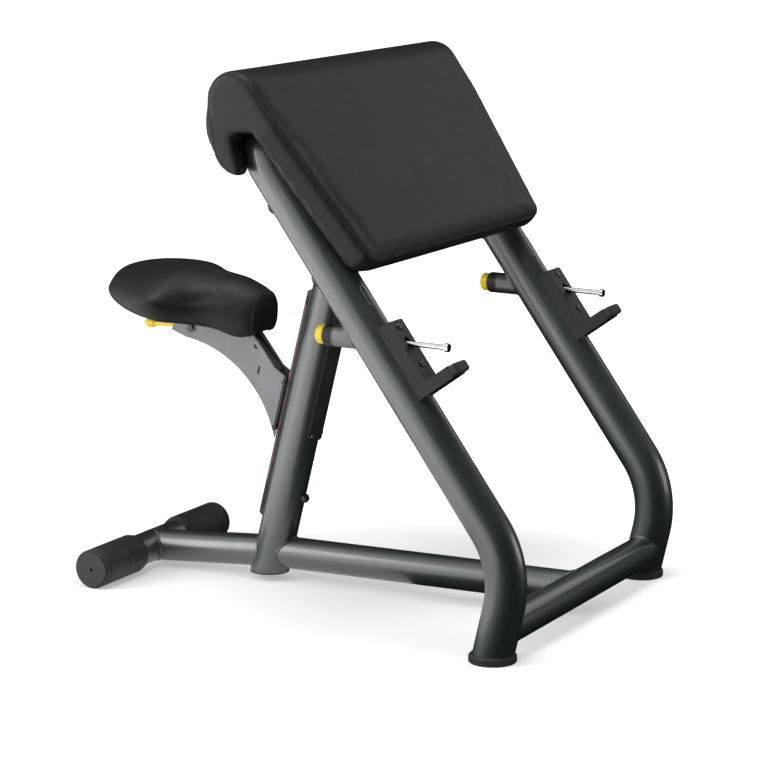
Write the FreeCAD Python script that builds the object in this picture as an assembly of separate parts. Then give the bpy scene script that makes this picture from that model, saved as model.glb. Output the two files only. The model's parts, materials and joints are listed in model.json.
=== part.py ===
import FreeCAD, Part
import math
import os

from FreeCAD import Placement, Rotation, Vector

# A preacher curl bench. +X points from the seat to the front of the bench, +Z up.
# The bench is symmetric about Y = 0; left (+Y) and right (-Y) are the sitting user's.

# Frame tubes
LEG_OD = 76.0
BEAM_OD = 63.5
TUBE_WALL = 3.0
LEG_SPACING = 700.0
LEG_FOOT_X = 461.0
LEG_LEAN = 13.1
LEG_SLOPE = 54.6
LEG_CORNER_Z = 177.5
LEG_BEND_R = 182.0
TOP_BEND_R = 90.0
TOP_BAR_ALONG = 930.0
COLUMN_BITE = 3.72
COLUMN_FOOT_Z = 17.0
COLUMN_LEAN = 13.9
COLUMN_SHORT = 2.0
FRONT_BEAM_Z = 56.0
REAR_BAR_X = -456.0
REAR_BAR_HALF = 238.0

# Feet, rear rubber sleeves and tube plugs
FOOT_RIM = 6.0
FOOT_H = 16.0
FOOT_SOLE = 6.0
FOOT_CROWN = 4.0
SLEEVE_T = 7.0
SLEEVE_INNER_END = 84.0
SLEEVE_SHOULDER = 10.0
SLEEVE_LIP = 12.0
SLEEVE_GROOVE = 2.5
PLUG_FLANGE = 3.0
PLUG_RIM = 5.0
PLUG_DEPTH = 20.0
PLUG_HOLE_R = 3.0
EASE = 2.0

# Arm pad, measured up the leg slope from the leg corner and out from the leg axis
PAD_T = 52.0
PAD_LENGTH = 345.0
PAD_LOW_OVERHANG = 20.0
PAD_HIGH_OVERHANG = 71.0
PAD_EDGE_R = 13.0
PAD_UNDER_R = 5.0
PAD_CORNER_R = 52.0
PAD_STRAIGHT = 45.0
ROLL_TOP_R = 52.0
ROLL_RISE = 42.0
ROLL_FOAM = 17.0
ROLL_LOW_BACK = 33.0
ROLL_LOW_OUT = 8.0
ROLL_JOIN_ANGLE = 157.0
ROLL_FRONT_ANGLE = -30.0
ROLL_BULGE = 7.0
NOTCH_OUT = -2.0
NOTCH_FLARE = 22.0
NOTCH_CREST = 6.0
NOTCH_MOUTH = 27.0
BOARD_T = 15.0
BOARD_INSET = 8.0
BOARD_HIGH_GAP = 12.0
PAD_BOLT_INSET = 42.0
PAD_BOLT_SPACING = 155.0
PAD_BOLT_R = 5.0
PAD_HEAD_R = 11.0
PAD_HEAD_H = 6.0
PAD_DRIVE = 6.0
TEE_BARREL_R = 6.5
TEE_FLANGE_R = 12.0
TEE_FLANGE_T = 2.0

# Bar hooks, measured like the pad
HOOK_BELOW_PAD = 246.0
HOOK_LENGTH = 148.0
HOOK_LIMB = 23.0
HOOK_PLATE_T = 18.0
HOOK_ARM_L = 68.0
HOOK_WIDTH = 52.0
HOOK_EDGE_R = 5.0
HOOK_SLOT_LIFT = 3.0
HOOK_BOLT_SPACING = 79.0
HOOK_HOLE_RAISE = 12.0
HOOK_BOLT_DROP = 3.0
HOOK_BOLT_R = 4.0
HOOK_BOLT_L = 32.0
HOOK_HEAD_R = 7.0
HOOK_HEAD_H = 4.4
HOOK_RECESS = 2.0
HOOK_DRIVE = 5.0
TIP_LENGTH = 16.0
TIP_INSET = 1.0
TIP_ROUND = 5.5
TONGUE_L = 10.0
TONGUE_INSET = 6.0

# Spring-loaded locking rods, measured forward along the rod from the hook's face
ROD_R = 5.0
ROD_TILT = 1.2
ROD_REACH = 79.5
ROD_HEAD_R = 8.0
ROD_HEAD_L = 8.0
ROD_HOLE_GAP = 1.0
ROD_SHOULDER_R = 10.0
ROD_SHOULDER_L = 3.0
ROD_SPRING_L = 68.0
ROD_SPRING_R = 8.0
ROD_SPRING_TURNS = 8
ROD_WIRE_R = 0.8
GUIDE_SHOW = 30.0
KNOB_L = 17.0
KNOB_R = 18.0
KNOB_CAP = 4.0
COLLAR_L = 21.0
COLLAR_NOSE = 6.0
COLLAR_GROOVES = 3
COLLAR_GROOVE_PITCH = 4.5
COLLAR_GROOVE_L = 1.5
COLLAR_GROOVE_DEPTH = 1.2
GUIDE_R = 20.5

# Seat rail and column cover, measured up the column axis and out from it
RAIL_LOW = 139.0
RAIL_HIGH = 584.0
RAIL_HALF = 15.0
RAIL_FLOOR = 1.0
RAIL_CAVITY = 2.8
RAIL_CAVITY_HALF = 11.0
RAIL_LIP = 1.8
RAIL_SLOT_HALF = 5.0
RAIL_ROOT = 10.0
RAIL_CAP_T = 14.0
RAIL_CAP_R = 8.0
RAIL_BOLT_LOW = 46.0
RAIL_BOLT_HIGH = 24.0
RAIL_BOLT_R = 3.0
RAIL_BOLT_GRIP = 16.0
RAIL_HEAD_R = 4.6
RAIL_HEAD_H = 2.5
RAIL_DRIVE = 3.0
DOME_R = 9.5
DOME_H = 11.5
SCALE_T = 0.3
SCALE_LOW = 60.0
SCALE_HIGH = 20.0
LOCK_PITCH = 25.0
LOCK_STEPS_DOWN = 6
LOCK_STEPS_UP = 4
COVER_LOW = 309.0
COVER_BELOW_BAR = 145.9
COVER_ANGLE = 41.0
COVER_T = 5.0
COVER_CORNER_R = 8.0
COVER_SCREW_INSET = 10.0
COVER_SCREW_ANGLE = 28.0
COVER_SCREW_R = 2.5
COVER_SCREW_SEAT = 3.0
COVER_HEAD_R = 4.0
COVER_HEAD_H = 2.6
COVER_HEAD_GAP = 0.5
COVER_DRIVE = 2.5

# Seat, in a frame on the column that is tipped nose down
SEAT_UP = 474.5
SEAT_BACK = 197.3
SEAT_TILT = 5.0
SEAT_REAR_R = 162.0
SEAT_REAR_CENTRE = -100.0
SEAT_FLANK = 0.4
SEAT_FOOT = 0.66
SEAT_FLANK_BULGE = 0.82
# Saddle stations: (degrees round the rear, crown, sole), then (place, half width, crown, sole) to the nose
SEAT_REAR_STATIONS = ((11.0, 60.0, 31.0), (24.0, 73.0, 27.0), (43.0, 87.0, 22.0), (63.0, 98.0, 14.0))
SEAT_WIDEST = (104.0, 6.0)
SEAT_FRONT_STATIONS = ((-45.0, 122.0, 101.0, -1.0), (10.0, 79.0, 94.0, -6.0), (45.0, 66.0, 86.0, -9.0),
                       (68.0, 54.0, 78.0, -7.0), (80.0, 38.0, 72.0, 2.0))
SEAT_BOARD_T = 12.0
SEAT_BOARD_REAR = -150.0
SEAT_BOARD_FRONT = 66.0
SEAT_BOARD_REAR_HALF = 74.0
SEAT_BOARD_FRONT_HALF = 44.0
MOUNT_T = 5.0
MOUNT_REAR = -118.0
MOUNT_FRONT = 60.0
MOUNT_LIP = 20.0
MOUNT_CORNER_R = 10.0
SEAT_SCREW_INSET = 18.0
SEAT_SCREW_R = 3.0
SEAT_SCREW_BITE = 10.0
SEAT_HEAD_R = 5.5
SEAT_HEAD_H = 3.5
SEAT_DRIVE = 4.0

# Seat bracket
PLATE_T = 5.0
PLATE_INNER = 15.0
CARRIER_GAP = 1.0
CARRIER_T = 6.0
CARRIER_END_R = 4.0
SHOE_LOW_UP = 310.0
SHOE_SPACING = 92.0
SHOE_L = 36.0
SHOE_NECK = 5.0
SHOE_SCREW_R = 2.0
SHOE_SCREW_GAP = 3.0
SHOE_HEAD_R = 4.8
SHOE_HEAD_H = 4.0
SHOE_DRIVE = 3.0
PLATE_TOE = 9.0
PLATE_TOE_DROP = 13.0
PLATE_SHOULDER = 13.0
PLATE_NECK_RISE = 9.0
PLATE_NECK_OUT = 26.0
PLATE_TOP_FRONT = 6.0
PLATE_TOP_REAR = 4.0
# Outline points of the side plate, (forward, up) from the lever pivot
PLATE_TAIL = (-46.0, -6.0)
PLATE_HEEL = (-12.0, -19.0)
PLATE_BELLY = (104.0, -70.0)
WEB_T = 4.0
WEB_TOP_INSET = 16.0
WEB_LOW_RISE = 16.0
WEB_LOW_OUT = 34.0
SPACER_T = 5.0
SPACER_BEHIND = 8.0
SPACER_LOW = 3.0
SPACER_H = 28.0
TAB_L = 16.0

# Height lock: lever, spring pin and cable
LEVER_BACK = 80.5
LEVER_DROP = 21.1
LEVER_L = 119.0
LEVER_HALF_T = 3.5
LEVER_HALF_W = 6.0
LEVER_BOSS_R = 10.0
LEVER_GRIP_L = 27.0
LEVER_GRIP_R = 9.5
HORN_L = 19.0
HORN_HALF = 5.0
HORN_HALF_W = 3.0
PIVOT_R = 4.0
PIVOT_HEAD_R = 7.0
PIVOT_HEAD_H = 4.5
PIVOT_DRIVE = 5.0
PIVOT_NUT = 13.0
PIVOT_NUT_H = 6.0
PIN_ABOVE_SHOE = 68.0
PIN_R = 4.0
PIN_TIP_GAP = 0.5
PIN_COLLAR_R = 7.5
PIN_COLLAR_L = 3.0
PIN_TAIL_R = 3.0
PIN_TAIL_L = 9.0
BLOCK_L = 47.0
BLOCK_HALF_H = 13.0
BLOCK_BORE_L = 12.5
BLOCK_POCKET_R = 8.0
BLOCK_REAR_WALL = 6.0
PIN_SPRING_R = 6.0
PIN_SPRING_TURNS = 5
PIN_WIRE_R = 0.7
FERRULE_R = 5.0
FERRULE_OUT = 8.0
CABLE_R = 2.5
CABLE_WIRE_R = 0.9
CABLE_STOP = 7.0
# Cable points, (rearward, up) from where it leaves the pin block
CABLE_RUN = ((22.0, 9.0), (55.0, 38.0), (90.0, 64.0))

# Fits
SNUG = 0.05
SOFT = 0.4
SLIDE = 0.3

# Sizes that follow from the ones above
LEG_R = LEG_OD / 2
BEAM_R = BEAM_OD / 2
LEG_Y = LEG_SPACING / 2
FOOT_R = LEG_R + FOOT_RIM
SLEEVE_R = BEAM_R + SLEEVE_T
PAD_UNDER = LEG_R + SOFT
PAD_TOP = LEG_R + PAD_T
PAD_LOW_END = TOP_BAR_ALONG - PAD_LENGTH
PAD_STRAIGHT_END = TOP_BAR_ALONG - PAD_STRAIGHT
PAD_BOLTS_ALONG = (PAD_LOW_END + PAD_BOLT_INSET, PAD_LOW_END + PAD_BOLT_INSET + PAD_BOLT_SPACING)
ROLL_TOP_ALONG = TOP_BAR_ALONG + ROLL_RISE
ROLL_LOW_ALONG = TOP_BAR_ALONG - ROLL_LOW_BACK
ROLL_LOW_R = LEG_R + ROLL_FOAM
HOOK_LOW = PAD_LOW_END - HOOK_BELOW_PAD
HOOK_OUT = LEG_R + HOOK_PLATE_T
HOOK_REACH = HOOK_OUT + HOOK_ARM_L
HOOK_MIDDLE = HOOK_LOW + HOOK_LIMB + (HOOK_LENGTH - HOOK_LIMB) / 2 + HOOK_HOLE_RAISE
HOOK_BOLTS_ALONG = [HOOK_MIDDLE - HOOK_BOLT_DROP + end * HOOK_BOLT_SPACING / 2 for end in (-1, 1)]
RAIL_FLOOR_OUT = LEG_R + RAIL_FLOOR
RAIL_LIP_OUT = RAIL_FLOOR_OUT + RAIL_CAVITY
RAIL_OUT = RAIL_LIP_OUT + RAIL_LIP
RAIL_BOLTS_UP = (RAIL_LOW + RAIL_BOLT_LOW, RAIL_HIGH - RAIL_BOLT_HIGH)
PLATE_OUTER = PLATE_INNER + PLATE_T
MOUNT_HALF = PLATE_OUTER + MOUNT_LIP
SHOES_UP = (SHOE_LOW_UP, SHOE_LOW_UP + SHOE_SPACING)
PIN_UP = SHOE_LOW_UP + PIN_ABOVE_SHOE
LOCK_HOLES_UP = [PIN_UP + step * LOCK_PITCH for step in range(-LOCK_STEPS_DOWN, LOCK_STEPS_UP + 1)]
CARRIER_FRONT = RAIL_OUT + CARRIER_GAP
CARRIER_REAR = CARRIER_FRONT + CARRIER_T
BLOCK_REAR = CARRIER_REAR + BLOCK_L
FAR = 2000.0
X_AXIS = Vector(1, 0, 0)
Y_AXIS = Vector(0, 1, 0)
Z_AXIS = Vector(0, 0, 1)


def tan(angle):
    return math.tan(math.radians(angle))


def frame_at(x, z, turn):
    """A frame in the XZ plane whose axes are turned about Y."""
    return Placement(Vector(x, 0, z), Rotation(Y_AXIS, turn))


LEG_CORNER_X = LEG_FOOT_X + LEG_CORNER_Z * tan(LEG_LEAN)
LEG_FRAME = frame_at(LEG_CORNER_X, LEG_CORNER_Z, LEG_SLOPE - 90)


def on_leg(along, out, y=0.0):
    """A point by its place up the leg slope and out from the leg axis."""
    return LEG_FRAME.multVec(Vector(out, y, along))


TOP_BAR = on_leg(TOP_BAR_ALONG, 0)
COLUMN_AHEAD = (LEG_OD - COLUMN_BITE) / math.cos(math.radians(COLUMN_LEAN))
COLUMN_FOOT_X = TOP_BAR.x + COLUMN_AHEAD - TOP_BAR.z * tan(COLUMN_LEAN)
COLUMN_FRAME = frame_at(COLUMN_FOOT_X, 0, COLUMN_LEAN)
COVER_HIGH = COLUMN_FRAME.inverse().multVec(TOP_BAR).z - COVER_BELOW_BAR


def on_column(up, rear, y=0.0):
    """A point by its place up the column and behind its axis."""
    return COLUMN_FRAME.multVec(Vector(-rear, y, up))


SEAT_ORIGIN = on_column(SEAT_UP, SEAT_BACK)
SEAT_FRAME = frame_at(SEAT_ORIGIN.x, SEAT_ORIGIN.z, SEAT_TILT)


def placed(shape, frame):
    """A shape drawn in a frame's own axes, set in the bench."""
    moved = shape.copy()
    moved.Placement = frame.multiply(moved.Placement)
    return moved


def rod(start, end, radius):
    run = end - start
    return Part.makeCylinder(radius, run.Length, start, run)


def box(x0, x1, y0, y1, z0, z1):
    return Part.makeBox(x1 - x0, y1 - y0, z1 - z0, Vector(x0, y0, z0))


def prism(points, y0, y1):
    """A polygon in XZ, extruded along Y."""
    corners = [Vector(x, y0, z) for x, z in points]
    face = Part.Face(Part.makePolygon(corners + corners[:1]))
    return face.extrude(Vector(0, y1 - y0, 0))


def outline(edges):
    return Part.Face(Part.Wire(Part.__sortEdges__(edges)))


def arc(a, b, c):
    return Part.Arc(a, b, c).toShape()


def elbow(start, direction, toward, bend_r, angle, radius):
    """A round bend that turns a tube from direction to toward."""
    disc = Part.Face(Part.Wire(Part.makeCircle(radius, start, direction)))
    return disc.revolve(start + toward * bend_r, direction.cross(toward), angle)


def turned(profile, origin, axis):
    """A solid of revolution from (distance along, radius) points."""
    across = Vector(0, 0, 1) if abs(axis.z) < 0.5 else Vector(1, 0, 0)
    across = (across - axis * across.dot(axis)).normalize()
    points = [origin + axis * along + across * radius for along, radius in profile]
    face = Part.Face(Part.makePolygon(points + points[:1]))
    return face.revolve(origin, axis, 360)


def hex_prism(across_flats, height, origin, axis):
    radius = across_flats / math.sqrt(3)
    side = Rotation(Z_AXIS, axis)
    corners = [origin + side.multVec(Vector(radius * math.cos(k * math.pi / 3),
                                            radius * math.sin(k * math.pi / 3), 0)) for k in range(7)]
    return Part.Face(Part.makePolygon(corners)).extrude(axis * height)


def biarc(p, tp, q, tq):
    """Two arcs that leave p along tp and reach q along tq."""
    chord = q - p
    both = tp + tq
    a = 2 * (1 - tp.dot(tq))
    b = 2 * chord.dot(both)
    c = -chord.dot(chord)
    reach = -c / b if abs(a) < 1e-9 else (-b + math.sqrt(b * b - 4 * a * c)) / (2 * a)
    pole_p = p + tp * reach
    pole_q = q - tq * reach
    middle = (pole_p + pole_q) * 0.5
    along = (pole_q - pole_p).normalize()
    return [tangent_arc(p, tp, middle), tangent_arc(middle, along, q)]


def tangent_arc(p, tangent, q):
    """The arc from p along tangent to q, or a line where they line up."""
    chord = q - p
    if tangent.cross(chord).Length < 1e-6 * chord.Length:
        return Part.makeLine(p, q)
    side = (tangent - chord * (tangent.dot(chord) / chord.dot(chord))).normalize()
    half_angle = tangent.getAngle(chord) / 2
    return arc(p, (p + q) * 0.5 + side * (chord.Length / 2 * math.tan(half_angle)), q)


def wire_path(points, tangents):
    """The line through points with the given directions."""
    edges = []
    for k in range(len(points) - 1):
        edges += biarc(points[k], tangents[k], points[k + 1], tangents[k + 1])
    return Part.Wire(edges)


def wire_along(points, tangents, radius):
    """A round wire swept through points with the given directions."""
    path = wire_path(points, tangents)
    ring = Part.Wire(Part.makeCircle(radius, points[0], tangents[0]))
    return path.makePipeShell([ring], True, False)


def least_gap(points, half_turn, wire_r):
    """The least clear distance between stretches of a coil at least half a turn apart."""
    nearest = FAR
    for k, point in enumerate(points):
        for other in points[k + half_turn:]:
            nearest = min(nearest, point.distanceToPoint(other))
    return nearest - 2 * wire_r


def coil(name, start, end, turns, mean_r, wire_r):
    """A helical spring between two points of its axis, which prints its least gap."""
    axis = (end - start).normalize()
    length = (end - start).Length
    first = Y_AXIS
    second = axis.cross(first)
    points, tangents = [], []
    quarters = turns * 4
    for k in range(quarters + 1):
        angle = k * math.pi / 2
        radial = first * math.cos(angle) + second * math.sin(angle)
        around = second * math.cos(angle) - first * math.sin(angle)
        points.append(start + axis * (length * k / quarters) + radial * mean_r)
        tangents.append((around * mean_r + axis * (length / turns / 2 / math.pi)).normalize())
    samples_per_turn = 16
    samples = wire_path(points, tangents).discretize(Number=turns * samples_per_turn + 1)
    print(f"{name}: least gap {least_gap(samples, samples_per_turn // 2, wire_r):.2f} mm")
    return wire_along(points, tangents, wire_r)


def button_screw(start, seat, axis, stem_r, head_r, head_h, drive):
    """A screw from its point to its seat, with a domed head and a hexagon socket."""
    profile = [(0, 0), (0, head_r), (head_h * 0.6, head_r), (head_h, head_r * 0.7), (head_h, 0)]
    socket = hex_prism(drive, head_h, seat + axis * (head_h / 2), axis)
    return rod(start, seat, stem_r).fuse(turned(profile, seat, axis)).cut(socket)


def mirrored(shape):
    return shape.mirror(Vector(0, 0, 0), Y_AXIS)


def largest(shape):
    return max(shape.Solids, key=lambda solid: solid.Volume)


def save(name, shape):
    shape.exportStep(f"parts/{name}.step")


def both_sides(name, left_shape):
    """Saves a left piece and its mirrored right twin."""
    save(f"left_{name}", left_shape)
    save(f"right_{name}", mirrored(left_shape))


def pairs(left_shapes):
    """Left pieces and their mirrored twins as the solids of one node."""
    return Part.makeCompound(left_shapes + [mirrored(shape) for shape in left_shapes])


# Places shared by several pieces
LEG_UP = Vector(math.sin(math.radians(LEG_LEAN)), 0, math.cos(math.radians(LEG_LEAN)))
LEG_TURN = 90 + LEG_LEAN - LEG_SLOPE
SLOPE_UP = LEG_FRAME.Rotation.multVec(Z_AXIS)
SLOPE_OUT = LEG_FRAME.Rotation.multVec(X_AXIS)
COLUMN_REAR = COLUMN_FRAME.Rotation.multVec(X_AXIS) * -1
CROSSBAR = Vector(LEG_FOOT_X + FRONT_BEAM_Z * tan(LEG_LEAN), 0, FRONT_BEAM_Z)
REAR_BAR = Vector(REAR_BAR_X, 0, SLEEVE_R)
BEAM_JOINT = Vector(COLUMN_FOOT_X + FRONT_BEAM_Z * tan(COLUMN_LEAN), 0, FRONT_BEAM_Z)
HOOK_FACE = on_leg(HOOK_MIDDLE, HOOK_OUT, LEG_Y)
ROD_AXIS = Vector(math.cos(math.radians(ROD_TILT)), 0, -math.sin(math.radians(ROD_TILT)))
ROD_RISE = math.sin(math.radians(LEG_SLOPE - ROD_TILT))
ROD_AT_LEG = -HOOK_OUT / ROD_RISE
KNOB_BACK = (HOOK_OUT + LEG_R) / ROD_RISE + GUIDE_SHOW + COLLAR_L + KNOB_L
PIVOT = SEAT_FRAME.multVec(Vector(-LEVER_BACK, 0, -LEVER_DROP))


def on_rod(ahead):
    """A point on the left locking rod's axis, by its place ahead of the hook's face."""
    return HOOK_FACE + ROD_AXIS * ahead


# Frame tubes
def leg_run(radius):
    """The left leg from its foot to the top bar as a solid of the given radius."""
    inward = Vector(0, -1, 0)
    foot = Vector(LEG_FOOT_X, LEG_Y, 0)
    corner = on_leg(0, 0, LEG_Y)
    cut_back = LEG_BEND_R * tan(LEG_TURN / 2)
    bend_start = corner - LEG_UP * cut_back
    bend_end = corner + SLOPE_UP * cut_back
    top_start = corner + SLOPE_UP * (TOP_BAR_ALONG - TOP_BEND_R)
    lower = rod(foot - LEG_UP * LEG_R, bend_start, radius)
    rearward = Vector(-LEG_UP.z, 0, LEG_UP.x)
    bend = elbow(bend_start, LEG_UP, rearward, LEG_BEND_R, LEG_TURN, radius)
    upper = rod(bend_end, top_start, radius)
    top = elbow(top_start, SLOPE_UP, inward, TOP_BEND_R, 90, radius)
    above_sole = box(-FAR, FAR, -FAR, FAR, FOOT_SOLE, FAR)
    return lower.multiFuse([bend, upper, top]).removeSplitter().common(above_sole)


def column_run(radius, foot_z):
    """The column from a level foot to just under the pad as a solid of the given radius."""
    under_pad = placed(box(-FAR, LEG_R - COLUMN_SHORT, -FAR, FAR, -FAR, FAR), LEG_FRAME)
    above_foot = box(-FAR, FAR, -FAR, FAR, foot_z, FAR)
    tube = placed(Part.makeCylinder(radius, 2 * FAR, Vector(0, 0, -FAR)), COLUMN_FRAME)
    return tube.common(under_pad).common(above_foot)


def across(centre, half, radius):
    return rod(Vector(centre.x, -half, centre.z), Vector(centre.x, half, centre.z), radius)


def beam_between(start, end, column_solid):
    """A beam tube coped to the column at its start and to a crossbar at its end."""
    beam = rod(start, end, BEAM_R).cut(rod(start, end, BEAM_R - TUBE_WALL))
    return largest(beam.cut(column_solid).cut(across(end, FAR, BEAM_R + SNUG)))


def make_frame():
    leg_solid = leg_run(LEG_R)
    leg = leg_solid.cut(leg_run(LEG_R - TUBE_WALL))
    for along in PAD_BOLTS_ALONG:
        leg = leg.cut(rod(on_leg(along, -LEG_OD, LEG_Y), on_leg(along, LEG_OD, LEG_Y), PAD_BOLT_R + SNUG))
    for along in HOOK_BOLTS_ALONG:
        leg = leg.cut(rod(on_leg(along, 0, LEG_Y), on_leg(along, LEG_OD, LEG_Y), HOOK_BOLT_R + SNUG))
    middle = on_rod(ROD_AT_LEG)
    leg = leg.cut(rod(middle, middle - ROD_AXIS * LEG_OD, GUIDE_R - TUBE_WALL))
    leg = leg.cut(rod(middle, middle + ROD_AXIS * LEG_OD, ROD_HEAD_R + ROD_HOLE_GAP))
    both_sides("leg", leg)

    bar_half = LEG_Y - TOP_BEND_R
    bar_solid = across(TOP_BAR, bar_half, LEG_R)
    save("top_bar", bar_solid.cut(across(TOP_BAR, bar_half, LEG_R - TUBE_WALL)))

    column_solid = column_run(LEG_R, COLUMN_FOOT_Z)
    column = column_solid.cut(column_run(LEG_R - TUBE_WALL, COLUMN_FOOT_Z)).cut(bar_solid)
    for up, front in zip(RAIL_BOLTS_UP, (-LEG_OD, 0)):
        column = column.cut(rod(on_column(up, LEG_OD), on_column(up, front), RAIL_BOLT_R + SNUG))
    for up in LOCK_HOLES_UP:
        column = column.cut(rod(on_column(up, LEG_OD), on_column(up, 0), PIN_R + SLIDE))
    save("column", largest(column))
    save("column_plug", make_column_plug(column_solid))

    front_bar_solid = across(CROSSBAR, LEG_Y, BEAM_R)
    crossbar = front_bar_solid.cut(across(CROSSBAR, LEG_Y, BEAM_R - TUBE_WALL))
    save("front_crossbar", largest(crossbar.cut(leg_solid).cut(mirrored(leg_solid))))
    save("front_beam", beam_between(BEAM_JOINT, CROSSBAR, column_solid))

    rear_solid = across(REAR_BAR, REAR_BAR_HALF, BEAM_R)
    save("rear_crossbar", rear_solid.cut(across(REAR_BAR, REAR_BAR_HALF, BEAM_R - TUBE_WALL)))
    save("rear_beam", beam_between(BEAM_JOINT, REAR_BAR, column_solid))
    return leg_solid


def make_column_plug(column_solid):
    """A cap under the column's level end, with a hollow spigot in its bore."""
    below = COLUMN_FOOT_Z - PLUG_FLANGE
    flange = column_run(LEG_R, below).cut(column_solid)
    bore = LEG_R - TUBE_WALL - SNUG
    spigot = column_run(bore, below).cut(column_run(bore - TUBE_WALL, COLUMN_FOOT_Z))
    reach = box(-FAR, FAR, -FAR, FAR, below, COLUMN_FOOT_Z + PLUG_DEPTH)
    return flange.fuse(spigot.common(reach)).removeSplitter()


# Feet and sleeves
def make_feet(leg_solid):
    centre = Vector(LEG_FOOT_X + FOOT_H / 2 * tan(LEG_LEAN), LEG_Y, 0)
    foot = [(0, 0), (0, FOOT_R - EASE), (EASE, FOOT_R), (FOOT_H - FOOT_CROWN, FOOT_R),
            (FOOT_H, FOOT_R - FOOT_CROWN), (FOOT_H, 0)]
    both_sides("foot", turned(foot, centre, Z_AXIS).cut(leg_solid))

    bore = BEAM_R + SNUG
    start, end = SLEEVE_INNER_END, REAR_BAR_HALF
    groove = end - SLEEVE_LIP
    floor = SLEEVE_R - SLEEVE_GROOVE
    sleeve = [(start, bore), (start, (bore + SLEEVE_R) / 2), (start + EASE, SLEEVE_R - EASE),
              (start + SLEEVE_SHOULDER, SLEEVE_R), (groove - SLEEVE_GROOVE, SLEEVE_R), (groove, floor),
              (groove + SLEEVE_GROOVE, floor), (groove + 2 * SLEEVE_GROOVE, SLEEVE_R), (end - EASE, SLEEVE_R),
              (end, SLEEVE_R - EASE), (end, bore)]
    both_sides("rear_sleeve", turned(sleeve, REAR_BAR, Y_AXIS))

    inside = BEAM_R - TUBE_WALL - SNUG
    rim = SLEEVE_R - PLUG_RIM
    outer = end + PLUG_FLANGE
    plug = [(end - PLUG_DEPTH, PLUG_HOLE_R), (end - PLUG_DEPTH, inside), (end, inside), (end, rim),
            (outer - EASE / 2, rim), (outer, rim - EASE / 2), (outer, PLUG_HOLE_R)]
    save("rear_tube_plugs", pairs([turned(plug, REAR_BAR, Y_AXIS)]))


# Arm pad
def pad_half(along):
    """Half the pad's width at a height up the slope."""
    share = min(1.0, (along - PAD_LOW_END) / (PAD_STRAIGHT_END - PAD_LOW_END))
    return LEG_Y + PAD_LOW_OVERHANG + share * (PAD_HIGH_OVERHANG - PAD_LOW_OVERHANG)


def pad_section(along, under, top, half):
    """A rounded rectangle across the pad at a height up the slope."""
    fit = min(1.0, (top - under) / (PAD_EDGE_R + PAD_UNDER_R) * 0.95)
    low_r, top_r = PAD_UNDER_R * fit, PAD_EDGE_R * fit
    low_ease, top_ease = low_r * (1 - math.sqrt(0.5)), top_r * (1 - math.sqrt(0.5))
    quarter = [(under, half - low_r), (under + low_ease, half - low_ease), (under + low_r, half),
               (top - top_r, half), (top - top_ease, half - top_ease), (top, half - top_r)]
    ring = quarter + [(out, -y) for out, y in reversed(quarter)]
    corners = [Vector(out, y, along) for out, y in ring]
    edges = []
    for k in range(0, len(corners), 3):
        edges.append(arc(corners[k], corners[k + 1], corners[k + 2]))
        edges.append(Part.makeLine(corners[k + 2], corners[(k + 3) % len(corners)]))
    return Part.Wire(edges)


def pad_slab():
    """The flat pad on the legs: tapered, with a rounded lower end and rounded edges."""
    middle = (PAD_UNDER + PAD_TOP) / 2
    half_thick = (PAD_TOP - PAD_UNDER) / 2
    sections = []
    for angle in (20, 40, 60, 75, 90):
        rise = math.sin(math.radians(angle))
        along = PAD_LOW_END + half_thick * (1 - math.cos(math.radians(angle)))
        half = pad_half(along) - PAD_CORNER_R * (1 - rise)
        sections.append(pad_section(along, middle - half_thick * rise, middle + half_thick * rise, half))
    for along in (PAD_STRAIGHT_END, ROLL_TOP_ALONG):
        sections.append(pad_section(along, PAD_UNDER, PAD_TOP, pad_half(along)))
    return Part.makeLoft(sections, True, True)


def roll_section(y, inset):
    """The roll's side outline, drawn in by an inset near its ends."""

    def on_circle(out, along, radius, angle):
        turn = math.radians(angle)
        return Vector(out + radius * math.cos(turn), y, along + radius * math.sin(turn))

    def low(angle):
        return on_circle(ROLL_LOW_OUT, ROLL_LOW_ALONG, ROLL_LOW_R - inset, angle)

    def top(angle):
        return on_circle(PAD_TOP - ROLL_TOP_R, ROLL_TOP_ALONG, ROLL_TOP_R - inset, angle)

    join = ROLL_JOIN_ANGLE
    front = ROLL_FRONT_ANGLE
    bulge = Vector(-ROLL_BULGE, 0, ROLL_BULGE / 2)
    return Part.Wire([
        arc(low(front), low((front + join - 360) / 2), low(join - 360)),
        arc(low(join), (low(join) + top(join)) * 0.5 + bulge, top(join)),
        arc(top(join), top(join / 2), top(0)),
        Part.makeLine(top(0), low(front)),
    ])


def pad_roll():
    """The thick roll over the top bar, with softened ends."""
    half = pad_half(PAD_STRAIGHT_END)
    steps = []
    for angle in (0, 22, 45, 68, 90):
        inset = PAD_EDGE_R * (1 - math.sin(math.radians(angle)))
        back = PAD_EDGE_R * (1 - math.cos(math.radians(angle)))
        steps.append((inset, back))
    sections = [roll_section(-half + back, inset) for inset, back in steps]
    sections += [roll_section(half - back, inset) for inset, back in reversed(steps)]
    return Part.makeLoft(sections, True, True)


def roll_end_notch():
    """The room under the left end of the roll, outside the leg."""
    foot = ROLL_LOW_ALONG - ROLL_LOW_R - PAD_UNDER_R
    points = [(NOTCH_OUT - NOTCH_FLARE, foot), (NOTCH_OUT, TOP_BAR_ALONG - NOTCH_CREST),
              (PAD_UNDER, TOP_BAR_ALONG - NOTCH_MOUTH), (PAD_UNDER, foot)]
    return placed(prism(points, LEG_Y, FAR), LEG_FRAME)


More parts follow.
